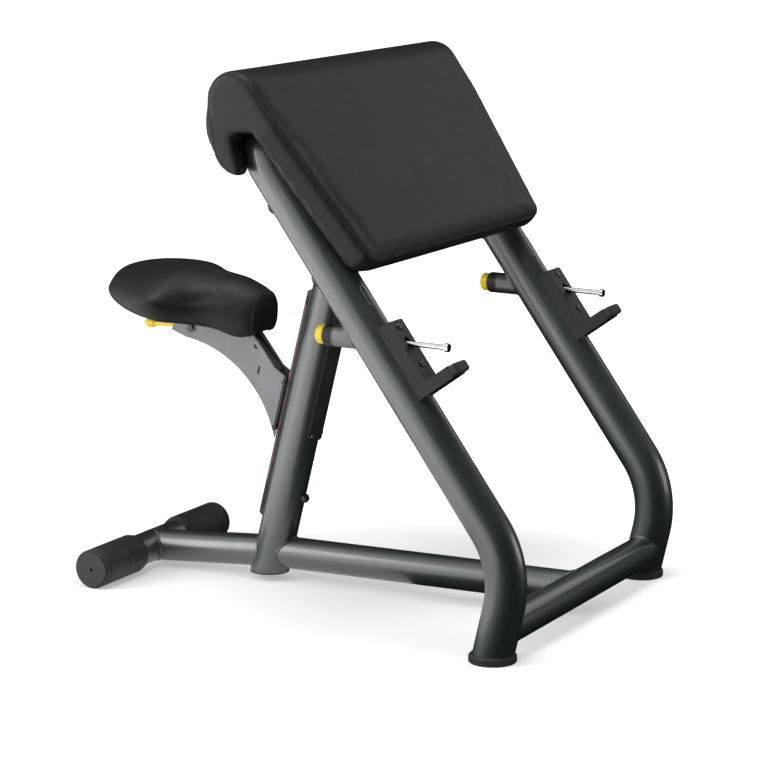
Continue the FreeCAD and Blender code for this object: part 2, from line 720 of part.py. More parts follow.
def pad_board(room):
    """The plywood board under the foam, or its pocket with room around it."""
    low = PAD_LOW_END + (PAD_TOP - PAD_UNDER) / 2 + EASE - room
    high = ROLL_LOW_ALONG - ROLL_LOW_R - BOARD_HIGH_GAP + room
    under = LEG_R + SNUG - room
    top = LEG_R + SNUG + BOARD_T + room
    plan = [(pad_half(low) - BOARD_INSET + room, low), (pad_half(high) - BOARD_INSET + room, high)]
    corners = plan + [(-y, along) for y, along in reversed(plan)]
    points = [Vector(under, y, along) for y, along in corners]
    face = Part.Face(Part.makePolygon(points + points[:1]))
    return placed(face.extrude(Vector(top - under, 0, 0)), LEG_FRAME)


def make_pad():
    pad = placed(pad_slab().fuse(pad_roll()).removeSplitter(), LEG_FRAME)
    leg_room = leg_run(LEG_R + SOFT)
    notch = roll_end_notch()
    bar_room = across(TOP_BAR, LEG_Y - TOP_BEND_R, LEG_R + SOFT)
    column_room = column_run(LEG_R + SOFT, COLUMN_FOOT_Z)
    rooms = [leg_room, mirrored(leg_room), notch, mirrored(notch), bar_room, column_room, pad_board(SOFT)]
    for room in rooms:
        pad = pad.cut(room)
    save("arm_pad", largest(pad))

    board = pad_board(0)
    nuts, bolts = [], []
    low = LEG_R + SNUG
    top = low + BOARD_T
    for along in PAD_BOLTS_ALONG:
        rear = on_leg(along, -low, LEG_Y)
        flange_low = on_leg(along, top - TEE_FLANGE_T, LEG_Y)
        bolts.append(button_screw(flange_low, rear, SLOPE_OUT * -1,
                                  PAD_BOLT_R, PAD_HEAD_R, PAD_HEAD_H, PAD_DRIVE))
        barrel = rod(on_leg(along, low, LEG_Y), flange_low, TEE_BARREL_R)
        tee = barrel.fuse(rod(flange_low, on_leg(along, top, LEG_Y), TEE_FLANGE_R))
        nuts.append(tee.cut(rod(rear, on_leg(along, top + EASE, LEG_Y), PAD_BOLT_R + SNUG)))
        board = board.cut(tee).cut(mirrored(tee))
    save("pad_board", board)
    save("pad_bolts", pairs(bolts))
    save("pad_tee_nuts", pairs(nuts))


# Bar hooks and locking rods
def make_hooks(leg_solid):
    half = HOOK_WIDTH / 2
    back = math.sqrt(LEG_R ** 2 - half ** 2) - EASE
    arm_top = HOOK_LOW + HOOK_LIMB
    arm_end = HOOK_REACH - TIP_LENGTH
    plate = box(back, HOOK_OUT, -half, half, HOOK_LOW, HOOK_LOW + HOOK_LENGTH)
    arm = box(back, arm_end, -half, half, HOOK_LOW, arm_top)
    hook = plate.fuse(arm).removeSplitter()
    rounded = [e for e in hook.Edges
               if e.BoundBox.YLength > HOOK_WIDTH - SNUG and back + EASE < e.CenterOfMass.x < arm_end - EASE]
    hook = hook.makeFillet(HOOK_EDGE_R, rounded)
    tongue = box(arm_end, arm_end + TONGUE_L, TONGUE_INSET - half, half - TONGUE_INSET,
                 HOOK_LOW + TONGUE_INSET, arm_top - TONGUE_INSET)
    beside_leg = Placement(Vector(0, LEG_Y, 0), Rotation()).multiply(LEG_FRAME)
    hook = placed(hook.fuse(tongue), beside_leg).cut(leg_solid)
    for lift in (-HOOK_SLOT_LIFT, 0, HOOK_SLOT_LIFT):
        slot = rod(on_rod(ROD_AT_LEG), on_rod(HOOK_OUT), ROD_HEAD_R + ROD_HOLE_GAP)
        slot.translate(Z_AXIS * lift)
        hook = hook.cut(slot)
    bolts = []
    for along in HOOK_BOLTS_ALONG:
        seat = on_leg(along, HOOK_OUT - HOOK_RECESS, LEG_Y)
        point = on_leg(along, HOOK_OUT - HOOK_RECESS - HOOK_BOLT_L, LEG_Y)
        recess = rod(seat, seat + SLOPE_OUT * HOOK_OUT, HOOK_HEAD_R + ROD_HOLE_GAP)
        hook = hook.cut(recess).cut(rod(point, seat, HOOK_BOLT_R + SNUG))
        bolts.append(button_screw(point, seat, SLOPE_OUT, HOOK_BOLT_R, HOOK_HEAD_R, HOOK_HEAD_H, HOOK_DRIVE))
    both_sides("bar_hook", largest(hook))
    save("hook_bolts", pairs(bolts))

    tip = box(arm_end, HOOK_REACH, TIP_INSET - half, half - TIP_INSET,
              HOOK_LOW + TIP_INSET, arm_top - TIP_INSET)
    outer = [e for e in tip.Edges if e.CenterOfMass.x > arm_end + EASE]
    tip = tip.makeFillet(TIP_ROUND, outer).cut(tongue)
    both_sides("hook_tip", placed(tip, beside_leg))


def make_locking_rods(leg_solid):
    knob_back = -KNOB_BACK
    knob_front = knob_back + KNOB_L
    guide_back = knob_front + COLLAR_L
    tube_start, tube_end = on_rod(guide_back), on_rod(ROD_AT_LEG)
    tube = rod(tube_start, tube_end, GUIDE_R).cut(rod(tube_start, tube_end, GUIDE_R - TUBE_WALL))
    both_sides("guide_tube", largest(tube.cut(leg_solid)))

    bore = ROD_R + SNUG
    nose_r = GUIDE_R - TUBE_WALL - SNUG
    stop = guide_back + COLLAR_NOSE
    back = knob_front + SLIDE
    floor = GUIDE_R - COLLAR_GROOVE_DEPTH
    collar = [(back, bore), (back, GUIDE_R - EASE), (back + EASE, GUIDE_R)]
    for k in range(COLLAR_GROOVES):
        groove = back + COLLAR_GROOVE_PITCH * (k + 1)
        end = groove + COLLAR_GROOVE_L
        collar += [(groove, GUIDE_R), (groove, floor), (end, floor), (end, GUIDE_R)]
    collar += [(guide_back, GUIDE_R), (guide_back, nose_r), (stop, nose_r), (stop, bore)]
    both_sides("guide_collar", turned(collar, on_rod(0), ROD_AXIS))

    rod_back = knob_back + KNOB_CAP
    shoulder = stop + ROD_SPRING_L
    rest = shoulder + ROD_SHOULDER_L
    head = ROD_REACH - ROD_HEAD_L
    profile = [(rod_back, 0), (rod_back, ROD_R), (shoulder, ROD_R), (shoulder, ROD_SHOULDER_R),
               (rest, ROD_SHOULDER_R), (rest, ROD_R), (head, ROD_R), (head, ROD_HEAD_R),
               (ROD_REACH - EASE / 2, ROD_HEAD_R), (ROD_REACH, ROD_HEAD_R - EASE / 2), (ROD_REACH, 0)]
    both_sides("locking_rod", turned(profile, on_rod(0), ROD_AXIS))

    knob = [(knob_back, 0), (knob_back, KNOB_R - 2.5 * EASE), (knob_back + EASE, KNOB_R - EASE),
            (knob_back + 2.5 * EASE, KNOB_R), (knob_front - EASE, KNOB_R), (knob_front, KNOB_R - EASE),
            (knob_front, bore), (rod_back - SNUG, bore), (rod_back - SNUG, 0)]
    both_sides("pull_knob", turned(knob, on_rod(0), ROD_AXIS))
    seat_gap = ROD_WIRE_R + SLIDE
    spring = coil("rod spring", on_rod(stop + seat_gap), on_rod(shoulder - seat_gap),
                  ROD_SPRING_TURNS, ROD_SPRING_R, ROD_WIRE_R)
    both_sides("rod_spring", spring)


# Seat rail and column cover
def make_rail():
    column_solid = Part.makeCylinder(LEG_R, FAR)
    root = RAIL_ROOT - LEG_R
    body = box(-RAIL_OUT, root, -RAIL_HALF, RAIL_HALF, RAIL_LOW, RAIL_HIGH)
    cavity = box(-RAIL_LIP_OUT, -RAIL_FLOOR_OUT, -RAIL_CAVITY_HALF, RAIL_CAVITY_HALF, RAIL_LOW, RAIL_HIGH)
    slot = box(-RAIL_OUT, -RAIL_LIP_OUT, -RAIL_SLOT_HALF, RAIL_SLOT_HALF, RAIL_LOW, RAIL_HIGH)
    rail = body.cut(cavity).cut(slot).cut(column_solid)
    for up in LOCK_HOLES_UP:
        rail = rail.cut(rod(Vector(-RAIL_FLOOR_OUT, 0, up), Vector(0, 0, up), PIN_R + SLIDE))
    for up in RAIL_BOLTS_UP:
        rail = rail.cut(rod(Vector(-RAIL_FLOOR_OUT, 0, up), Vector(0, 0, up), RAIL_BOLT_R + SNUG))
    save("seat_rail", placed(rail, COLUMN_FRAME))

    low, high = RAIL_BOLTS_UP
    dome = [(0, 0), (0, DOME_R), (DOME_H * 0.35, DOME_R), (DOME_H * 0.65, DOME_R * 0.88),
            (DOME_H * 0.9, DOME_R * 0.55), (DOME_H, 0)]
    dome_seat = Vector(LEG_R + SNUG, 0, low)
    shank = rod(dome_seat, Vector(-RAIL_FLOOR_OUT, 0, low), RAIL_BOLT_R)
    through_bolt = turned(dome, dome_seat, X_AXIS).fuse(shank)
    screw_tip = Vector(RAIL_BOLT_GRIP - LEG_R, 0, high)
    screw_seat = Vector(-RAIL_FLOOR_OUT, 0, high)
    rear_screw = button_screw(screw_tip, screw_seat, X_AXIS * -1,
                              RAIL_BOLT_R, RAIL_HEAD_R, RAIL_HEAD_H, RAIL_DRIVE)
    save("rail_bolts", placed(Part.makeCompound([through_bolt, rear_screw]), COLUMN_FRAME))

    caps = []
    for start, end in ((RAIL_LOW, RAIL_LOW - RAIL_CAP_T), (RAIL_HIGH, RAIL_HIGH + RAIL_CAP_T)):
        cap = box(-RAIL_OUT, root, -RAIL_HALF, RAIL_HALF, min(start, end), max(start, end))
        rear_end = [e for e in cap.Edges if e.BoundBox.XMax < EASE - RAIL_OUT and e.BoundBox.YLength > RAIL_HALF
                    and abs(e.CenterOfMass.z - end) < EASE]
        caps.append(cap.makeFillet(RAIL_CAP_R, rear_end).cut(column_solid))
    save("rail_caps", placed(Part.makeCompound(caps), COLUMN_FRAME))
    strip = box(-RAIL_OUT, -RAIL_FLOOR_OUT, -RAIL_HALF - SCALE_T, -RAIL_HALF,
                RAIL_LOW + SCALE_LOW, RAIL_HIGH - SCALE_HIGH)
    save("height_scale", placed(strip, COLUMN_FRAME))


def make_cover():
    """The curved cover on the front of the column, and its screws."""
    outer_r = LEG_R + COVER_T
    foot = Vector(0, 0, COVER_LOW)
    shell = Part.makeCylinder(outer_r, COVER_HIGH - COVER_LOW, foot, Z_AXIS, 2 * COVER_ANGLE)
    shell.rotate(Vector(0, 0, 0), Z_AXIS, -COVER_ANGLE)
    shell = shell.cut(Part.makeCylinder(LEG_R + SNUG, FAR))
    corners = [e for e in shell.Edges if abs(e.Length - COVER_T + SNUG) < SNUG and e.BoundBox.ZLength < SNUG]
    cover = shell.makeFillet(COVER_CORNER_R, corners)
    screws = []
    for angle in (-COVER_SCREW_ANGLE, COVER_SCREW_ANGLE):
        outward = Vector(math.cos(math.radians(angle)), math.sin(math.radians(angle)), 0)
        for up in (COVER_LOW + COVER_SCREW_INSET, COVER_HIGH - COVER_SCREW_INSET):
            axis_point = Vector(0, 0, up)
            seat = axis_point + outward * (LEG_R + COVER_SCREW_SEAT)
            point = axis_point + outward * (LEG_R + SNUG)
            cover = cover.cut(rod(seat, seat + outward * COVER_T, COVER_HEAD_R + COVER_HEAD_GAP))
            cover = cover.cut(rod(axis_point, seat, COVER_SCREW_R + SNUG))
            screws.append(button_screw(point, seat, outward,
                                       COVER_SCREW_R, COVER_HEAD_R, COVER_HEAD_H, COVER_DRIVE))
    save("column_cover", placed(cover, COLUMN_FRAME))
    save("cover_screws", placed(Part.makeCompound(screws), COLUMN_FRAME))


# Seat and its bracket
def seat_section(x, half, crown, sole):
    """One cross-section of the saddle: flat sole, drawn-in flanks and a crowned top."""
    flank = sole + (crown - sole) * SEAT_FLANK
    foot = half * SEAT_FOOT
    bulge = foot + (half - foot) * SEAT_FLANK_BULGE
    low_flank = sole + (flank - sole) * 0.4
    left_foot, right_foot = Vector(x, -foot, sole), Vector(x, foot, sole)
    left, right, top = Vector(x, -half, flank), Vector(x, half, flank), Vector(x, 0, crown)
    return Part.Wire([
        Part.makeLine(left_foot, right_foot),
        arc(right_foot, Vector(x, bulge, low_flank), right),
        arc(right, top, left),
        arc(left, Vector(x, -bulge, low_flank), left_foot),
    ])


def seat_board(room):
    """The seat's plywood base, or its pocket with room around it."""
    rear, front = SEAT_BOARD_REAR - room, SEAT_BOARD_FRONT + room
    rear_half, front_half = SEAT_BOARD_REAR_HALF + room, SEAT_BOARD_FRONT_HALF + room
    points = [Vector(rear, -rear_half, 0), Vector(rear, rear_half, 0),
              Vector(front, front_half, 0), Vector(front, -front_half, 0)]
    return Part.Face(Part.makePolygon(points + points[:1])).extrude(Vector(0, 0, SEAT_BOARD_T + room))


def make_seat():
    sections = []
    for angle, crown, sole in SEAT_REAR_STATIONS:
        x = SEAT_REAR_CENTRE - SEAT_REAR_R * math.cos(math.radians(angle))
        sections.append(seat_section(x, SEAT_REAR_R * math.sin(math.radians(angle)), crown, sole))
    sections.append(seat_section(SEAT_REAR_CENTRE, SEAT_REAR_R, *SEAT_WIDEST))
    for x, half, crown, sole in SEAT_FRONT_STATIONS:
        sections.append(seat_section(x, half, crown, sole))
    cushion = Part.makeLoft(sections, True, False)
    mount_room = box(MOUNT_REAR - SOFT, MOUNT_FRONT + SOFT, -MOUNT_HALF - SOFT, MOUNT_HALF + SOFT, -FAR, 0)
    cushion = cushion.cut(mount_room).cut(seat_board(SOFT))
    save("seat_cushion", placed(cushion, SEAT_FRAME))

    board = seat_board(0)
    mount = box(MOUNT_REAR, MOUNT_FRONT, -MOUNT_HALF, MOUNT_HALF, -MOUNT_T, 0)
    mount = mount.makeFillet(MOUNT_CORNER_R, [e for e in mount.Edges if abs(e.Length - MOUNT_T) < SNUG])
    screws = []
    screw_y = (PLATE_OUTER + MOUNT_HALF) / 2
    for x in (MOUNT_REAR + SEAT_SCREW_INSET, MOUNT_FRONT - SEAT_SCREW_INSET):
        for y in (-screw_y, screw_y):
            seat = Vector(x, y, -MOUNT_T)
            point = Vector(x, y, SEAT_SCREW_BITE)
            hole = rod(seat, point, SEAT_SCREW_R + SNUG)
            mount = mount.cut(hole)
            board = board.cut(hole)
            screws.append(button_screw(point, seat, Z_AXIS * -1, SEAT_SCREW_R,
                                       SEAT_HEAD_R, SEAT_HEAD_H, SEAT_DRIVE))
    save("seat_board", placed(board, SEAT_FRAME))
    save("seat_mount_plate", placed(mount, SEAT_FRAME))
    save("seat_screws", placed(Part.makeCompound(screws), SEAT_FRAME))


def bracket_outline():
    """The side plate: along the rail in front, a swept lower edge, and the seat mount on top."""
    front_out = CARRIER_REAR
    toe_up = SHOES_UP[0] - PLATE_TOE
    shoulder_up = SHOES_UP[1] + PLATE_SHOULDER

    def at(point):
        return Vector(point.x, PLATE_INNER, point.z)

    def under_mount(x):
        return at(SEAT_FRAME.multVec(Vector(x, 0, -MOUNT_T)))

    def from_pivot(offset):
        return at(PIVOT + Vector(offset[0], 0, offset[1]))

    rail_high = at(on_column(shoulder_up, front_out))
    under_carrier = at(on_column(toe_up, front_out))
    toe_top = at(on_column(toe_up, CARRIER_FRONT))
    toe = at(on_column(toe_up - PLATE_TOE_DROP, CARRIER_FRONT))
    neck = at(on_column(shoulder_up + PLATE_NECK_RISE, front_out + PLATE_NECK_OUT))
    top_front = under_mount(MOUNT_FRONT - PLATE_TOP_FRONT)
    top_rear = under_mount(MOUNT_REAR + PLATE_TOP_REAR)
    tail, heel = from_pivot(PLATE_TAIL), from_pivot(PLATE_HEEL)
    edges = [
        Part.makeLine(toe, toe_top),
        Part.makeLine(toe_top, under_carrier),
        Part.makeLine(under_carrier, rail_high),
        Part.makeLine(rail_high, neck),
        Part.makeLine(neck, top_front),
        Part.makeLine(top_front, top_rear),
        Part.makeLine(top_rear, tail),
        Part.makeLine(tail, heel),
        arc(heel, from_pivot(PLATE_BELLY), toe),
    ]
    return outline(edges).extrude(Vector(0, PLATE_T, 0))


def make_bracket():
    plate = bracket_outline().cut(rod(PIVOT, PIVOT + Y_AXIS * FAR, PIVOT_R + SNUG))

    spacer_rear = -BLOCK_REAR - SPACER_BEHIND
    spacer_low = PIN_UP + BLOCK_HALF_H + SPACER_LOW
    tab_low = spacer_low + (SPACER_H - TAB_L) / 2
    spacer = box(spacer_rear - SPACER_T, spacer_rear, -PLATE_INNER, PLATE_INNER,
                 spacer_low, spacer_low + SPACER_H)
    tabs = box(spacer_rear - SPACER_T, spacer_rear, -PLATE_OUTER, PLATE_OUTER, tab_low, tab_low + TAB_L)
    tab_slot = box(spacer_rear - SPACER_T - SNUG, spacer_rear + SNUG, 0, FAR,
                   tab_low - SNUG, tab_low + TAB_L + SNUG)
    save("bracket_spacer", placed(spacer.fuse(tabs).removeSplitter(), COLUMN_FRAME))
    plate = plate.cut(placed(tab_slot, COLUMN_FRAME))

    both_sides("bracket_plate", plate)

    top = SEAT_FRAME.multVec(Vector(MOUNT_FRONT - WEB_TOP_INSET, 0, -MOUNT_T))
    low = on_column(SHOES_UP[1] + WEB_LOW_RISE, LEG_R + WEB_LOW_OUT)
    along = (top - low).normalize()
    side = Vector(along.z, 0, -along.x) * WEB_T
    corners = [low, top, top - side, low - side]
    web = prism([(point.x, point.z) for point in corners], -PLATE_INNER, PLATE_INNER)
    over_mount = placed(box(-FAR, FAR, -FAR, FAR, -MOUNT_T, FAR), SEAT_FRAME)
    save("bracket_web", web.cut(over_mount))

    nut_face = PIVOT - Y_AXIS * PLATE_OUTER
    bolt = button_screw(nut_face - Y_AXIS * PIVOT_NUT_H, PIVOT + Y_AXIS * PLATE_OUTER, Y_AXIS,
                        PIVOT_R, PIVOT_HEAD_R, PIVOT_HEAD_H, PIVOT_DRIVE)
    nut = hex_prism(PIVOT_NUT, PIVOT_NUT_H, nut_face, Y_AXIS * -1)
    save("lever_pivot_bolt", bolt.fuse(nut).removeSplitter())


def make_carrier():
    """The block behind the rail, and the tee shoes that it runs on inside the rail."""
    low, high = SHOES_UP[0] - PLATE_TOE, SHOES_UP[1] + PLATE_SHOULDER
    carrier = box(-CARRIER_REAR, -CARRIER_FRONT, -PLATE_OUTER, PLATE_OUTER, low, high)
    ends = [e for e in carrier.Edges
            if e.BoundBox.YLength > PLATE_OUTER and e.BoundBox.XMin > EASE - CARRIER_REAR]
    carrier = carrier.makeFillet(CARRIER_END_R, ends)
    carrier = carrier.cut(rod(Vector(0, 0, PIN_UP), Vector(-FAR, 0, PIN_UP), PIN_R + SLIDE))
    bolts = []
    for name, up in zip(("lower_guide_shoe", "upper_guide_shoe"), SHOES_UP):
        shoe_low, shoe_high = up - SHOE_L / 2, up + SHOE_L / 2
        half = RAIL_CAVITY_HALF - SLIDE
        head = box(SLIDE - RAIL_LIP_OUT, -RAIL_FLOOR_OUT - SLIDE, -half, half, shoe_low, shoe_high)
        neck_half = RAIL_SLOT_HALF - SLIDE
        neck_rear = CARRIER_FRONT + SHOE_NECK
        shoe = head.fuse(box(-neck_rear, -RAIL_FLOOR_OUT - SLIDE, -neck_half, neck_half, shoe_low, shoe_high))
        carrier = carrier.cut(box(-neck_rear, 0, -neck_half, neck_half, shoe_low, shoe_high))
        screw_x = -(CARRIER_FRONT + CARRIER_REAR) / 2
        point = Vector(screw_x, SHOE_SCREW_GAP, up)
        seat = Vector(screw_x, PLATE_OUTER, up)
        hole = rod(point, seat, SHOE_SCREW_R + SNUG)
        carrier = carrier.cut(hole).cut(mirrored(hole))
        save(name, placed(shoe.removeSplitter().cut(hole).cut(mirrored(hole)), COLUMN_FRAME))
        bolts.append(button_screw(point, seat, Y_AXIS, SHOE_SCREW_R, SHOE_HEAD_R, SHOE_HEAD_H, SHOE_DRIVE))
    save("guide_carrier", placed(carrier, COLUMN_FRAME))
    save("shoe_bolts", placed(pairs(bolts), COLUMN_FRAME))


# Height lock
def make_lever():
    boss_half = PLATE_INNER - SLIDE
    boss = rod(PIVOT - Y_AXIS * boss_half, PIVOT + Y_AXIS * boss_half, LEVER_BOSS_R)
    tip_x = PIVOT.x - LEVER_L
    grip_x = tip_x + LEVER_GRIP_L
    arm = box(grip_x - LEVER_GRIP_L / 2, PIVOT.x, -LEVER_HALF_W, LEVER_HALF_W,
              PIVOT.z - LEVER_HALF_T, PIVOT.z + LEVER_HALF_T)
    shape = ((0, 0), (0, 0.63), (0.22, 0.9), (0.6, 1.0), (0.82, 0.84), (0.96, 0.47), (1.0, 0))
    profile = [(along * LEVER_GRIP_L, radius * LEVER_GRIP_R) for along, radius in shape]
    grip = turned(profile, Vector(grip_x, 0, PIVOT.z), X_AXIS * -1)
    horn = box(PIVOT.x - HORN_HALF, PIVOT.x + HORN_HALF, -HORN_HALF_W, HORN_HALF_W, PIVOT.z - HORN_L, PIVOT.z)
    lever = boss.multiFuse([arm, grip, horn]).removeSplitter()
    save("release_lever", lever.cut(rod(PIVOT - Y_AXIS * FAR, PIVOT + Y_AXIS * FAR, PIVOT_R + SNUG)))


def make_height_lock():
    shoulder = CARRIER_REAR + BLOCK_BORE_L
    stop = BLOCK_REAR - BLOCK_REAR_WALL

    def at(rear):
        return on_column(PIN_UP, rear)

    block = box(-BLOCK_REAR, -CARRIER_REAR, -PLATE_INNER, PLATE_INNER,
                PIN_UP - BLOCK_HALF_H, PIN_UP + BLOCK_HALF_H)
    block = placed(block, COLUMN_FRAME).cut(rod(at(RAIL_OUT), at(shoulder), PIN_R + SNUG))
    block = block.cut(rod(at(shoulder), at(stop), BLOCK_POCKET_R)).cut(rod(at(stop), at(FAR), FERRULE_R))
    save("pin_block", block)

    tip = RAIL_FLOOR_OUT + PIN_TIP_GAP
    collar = shoulder + SLIDE
    collar_rear = collar + PIN_COLLAR_L
    tail = collar_rear + PIN_TAIL_L
    pin = [(tip, 0), (tip, PIN_R - EASE / 2), (tip + EASE / 2, PIN_R), (collar, PIN_R), (collar, PIN_COLLAR_R),
           (collar_rear, PIN_COLLAR_R), (collar_rear, PIN_TAIL_R), (tail, PIN_TAIL_R), (tail, 0)]
    save("lock_pin", turned(pin, at(0), COLUMN_REAR))
    seat_gap = PIN_WIRE_R + SLIDE
    save("lock_pin_spring", coil("lock pin spring", at(collar_rear + seat_gap), at(stop - seat_gap),
                                 PIN_SPRING_TURNS, PIN_SPRING_R, PIN_WIRE_R))

    ferrule = rod(at(stop), at(BLOCK_REAR + FERRULE_OUT), FERRULE_R - SNUG)
    start = at(BLOCK_REAR + FERRULE_OUT / 2)
    horn_face = PIVOT + Vector(HORN_HALF, 0, EASE - HORN_L)
    end = horn_face + X_AXIS * CABLE_STOP
    route = [start] + [start + Vector(-rear, 0, up) for rear, up in CABLE_RUN] + [end]
    tangents = [COLUMN_REAR]
    for k in range(1, len(route) - 1):
        tangents.append((route[k + 1] - route[k - 1]).normalize())
    tangents.append(X_AXIS * -1)
    cable = wire_along(route, tangents, CABLE_R)
    wire = rod(end, horn_face + X_AXIS * SLIDE, CABLE_WIRE_R)
    save("release_cable", ferrule.multiFuse([cable, wire]).removeSplitter())


def main():
    os.makedirs("parts", exist_ok=True)
    leg_solid = make_frame()
    make_feet(leg_solid)
    make_pad()
    make_hooks(leg_solid)
    make_locking_rods(leg_solid)
    make_rail()
    make_cover()
    make_seat()
    make_bracket()
    make_carrier()
    make_lever()
    make_height_lock()


main()
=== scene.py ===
import json
import math
from collections import namedtuple

import bmesh
import bpy
from mathutils import Matrix, Vector
from mathutils.bvhtree import BVHTree
from mathutils.geometry import intersect_point_line


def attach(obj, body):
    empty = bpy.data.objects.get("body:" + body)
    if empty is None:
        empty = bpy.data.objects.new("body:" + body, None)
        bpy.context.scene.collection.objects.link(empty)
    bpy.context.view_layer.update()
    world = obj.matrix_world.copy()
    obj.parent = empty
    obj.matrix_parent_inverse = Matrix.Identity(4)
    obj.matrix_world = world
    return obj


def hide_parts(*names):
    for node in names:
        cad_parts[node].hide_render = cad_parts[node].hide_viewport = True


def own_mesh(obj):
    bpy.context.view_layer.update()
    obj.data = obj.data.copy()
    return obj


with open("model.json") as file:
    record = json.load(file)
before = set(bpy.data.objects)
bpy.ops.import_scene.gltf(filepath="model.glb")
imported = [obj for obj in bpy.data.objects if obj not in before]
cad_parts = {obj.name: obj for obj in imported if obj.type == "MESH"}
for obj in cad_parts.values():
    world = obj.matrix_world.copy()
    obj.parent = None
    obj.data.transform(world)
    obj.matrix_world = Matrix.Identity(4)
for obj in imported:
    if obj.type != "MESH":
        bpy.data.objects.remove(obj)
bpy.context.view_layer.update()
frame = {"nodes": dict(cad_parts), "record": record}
nodes = frame["nodes"]
scene = bpy.context.scene

# Places repeated from the part's source, in metres
LEG_Y = 0.350
LEG_R = 0.038
TOP_BAR_ALONG = 0.930
BEAM_R = 0.03175
GUIDE_R = 0.0205
LEG_CORNER = Vector((0.5023055, 0, 0.1775))
SLOPE_OUT = Vector((0.8151278, 0, 0.5792812))
SLOPE_UP = Vector((-0.5792812, 0, 0.8151278))
LEG_UP = Vector((0.226651, 0, 0.973976))
COLUMN_FOOT = Vector((-0.1934954, 0, 0))
COLUMN_UP = Vector((0.240228, 0, 0.970716))
COLUMN_REAR = Vector((-0.970716, 0, 0.240228))
CROSSBAR = Vector((0.474032, 0, 0.056))
BEAM_JOINT = Vector((-0.179637, 0, 0.056))
REAR_BAR = Vector((-0.456, 0, 0.03875))
HOOK_FACE = Vector((0.295096, 0, 0.565743))
ROD_AXIS = Vector((0.999781, 0, -0.020942))
ROD_BEHIND_LEG = -0.2092629
SEAT_ORIGIN = Vector((-0.2710295, 0, 0.508002))
SEAT_FORWARD = Vector((0.9961947, 0, -0.0871557))
SEAT_UP = Vector((0.0871557, 0, 0.9961947))
SIDE = Vector((0, 1, 0))
SIDES = (("left", 1), ("right", -1))
PAD_TOP = 0.090
PAD_LOW_END = 0.585
PAD_STRAIGHT_END = 0.885
PAD_LOW_OVERHANG = 0.020
PAD_HIGH_OVERHANG = 0.071
PAD_CORNER_R = 0.052
ROLL_TOP_ALONG = 0.972
ROLL_TOP_R = 0.052
ROLL_LOW_ALONG = 0.897
ROLL_LOW_OUT = 0.008
ROLL_LOW_R = 0.055
ROLL_JOIN_ANGLE = 157
RAIL_HALF = 0.015
RAIL_OUT = 0.0436
PLATE_OUTER = 0.020
SCALE_T = 0.0003
ROD_TRAVEL = 0.05
PIN_TRAVEL = 0.0051

# The photograph's camera
CAMERA_TARGET = Vector((0.0654, 0, 0.4136))
CAMERA_DISTANCE = 5.845
CAMERA_AZIMUTH = 27.04
CAMERA_ELEVATION = 10.70
CAMERA_LENS = 142.0
CAMERA_SENSOR = 36.0
CAMERA_CLIP_END = 100

# Textures shared by the materials
TEXTURE_LOW = 0.3
TEXTURE_HIGH = 0.7
MOTTLE_DETAIL = 3.0
STREAK_DETAIL = 4.0
STREAK_SCALE = 2.7
GRAIN_DETAIL = 2.0
GRAIN_DEPTH = 0.0003
COAT_ROUGHNESS = 0.12

# Upholstery vinyl
VINYL_LOW = (0.0115, 0.0115, 0.0118)
VINYL_HIGH = (0.0150, 0.0150, 0.0154)
VINYL_ROUGH = (0.46, 0.50)
VINYL_SPECULAR = 0.26
VINYL_CLOUD_SCALE = 9.0
VINYL_SHEEN_SCALE = 35.0
VINYL_CREASE_SCALE = 60.0
VINYL_CREASE = 0.03
VINYL_CREASE_DEPTH = 0.0008
VINYL_PEBBLE_SCALE = 620.0
VINYL_PEBBLE = 0.16

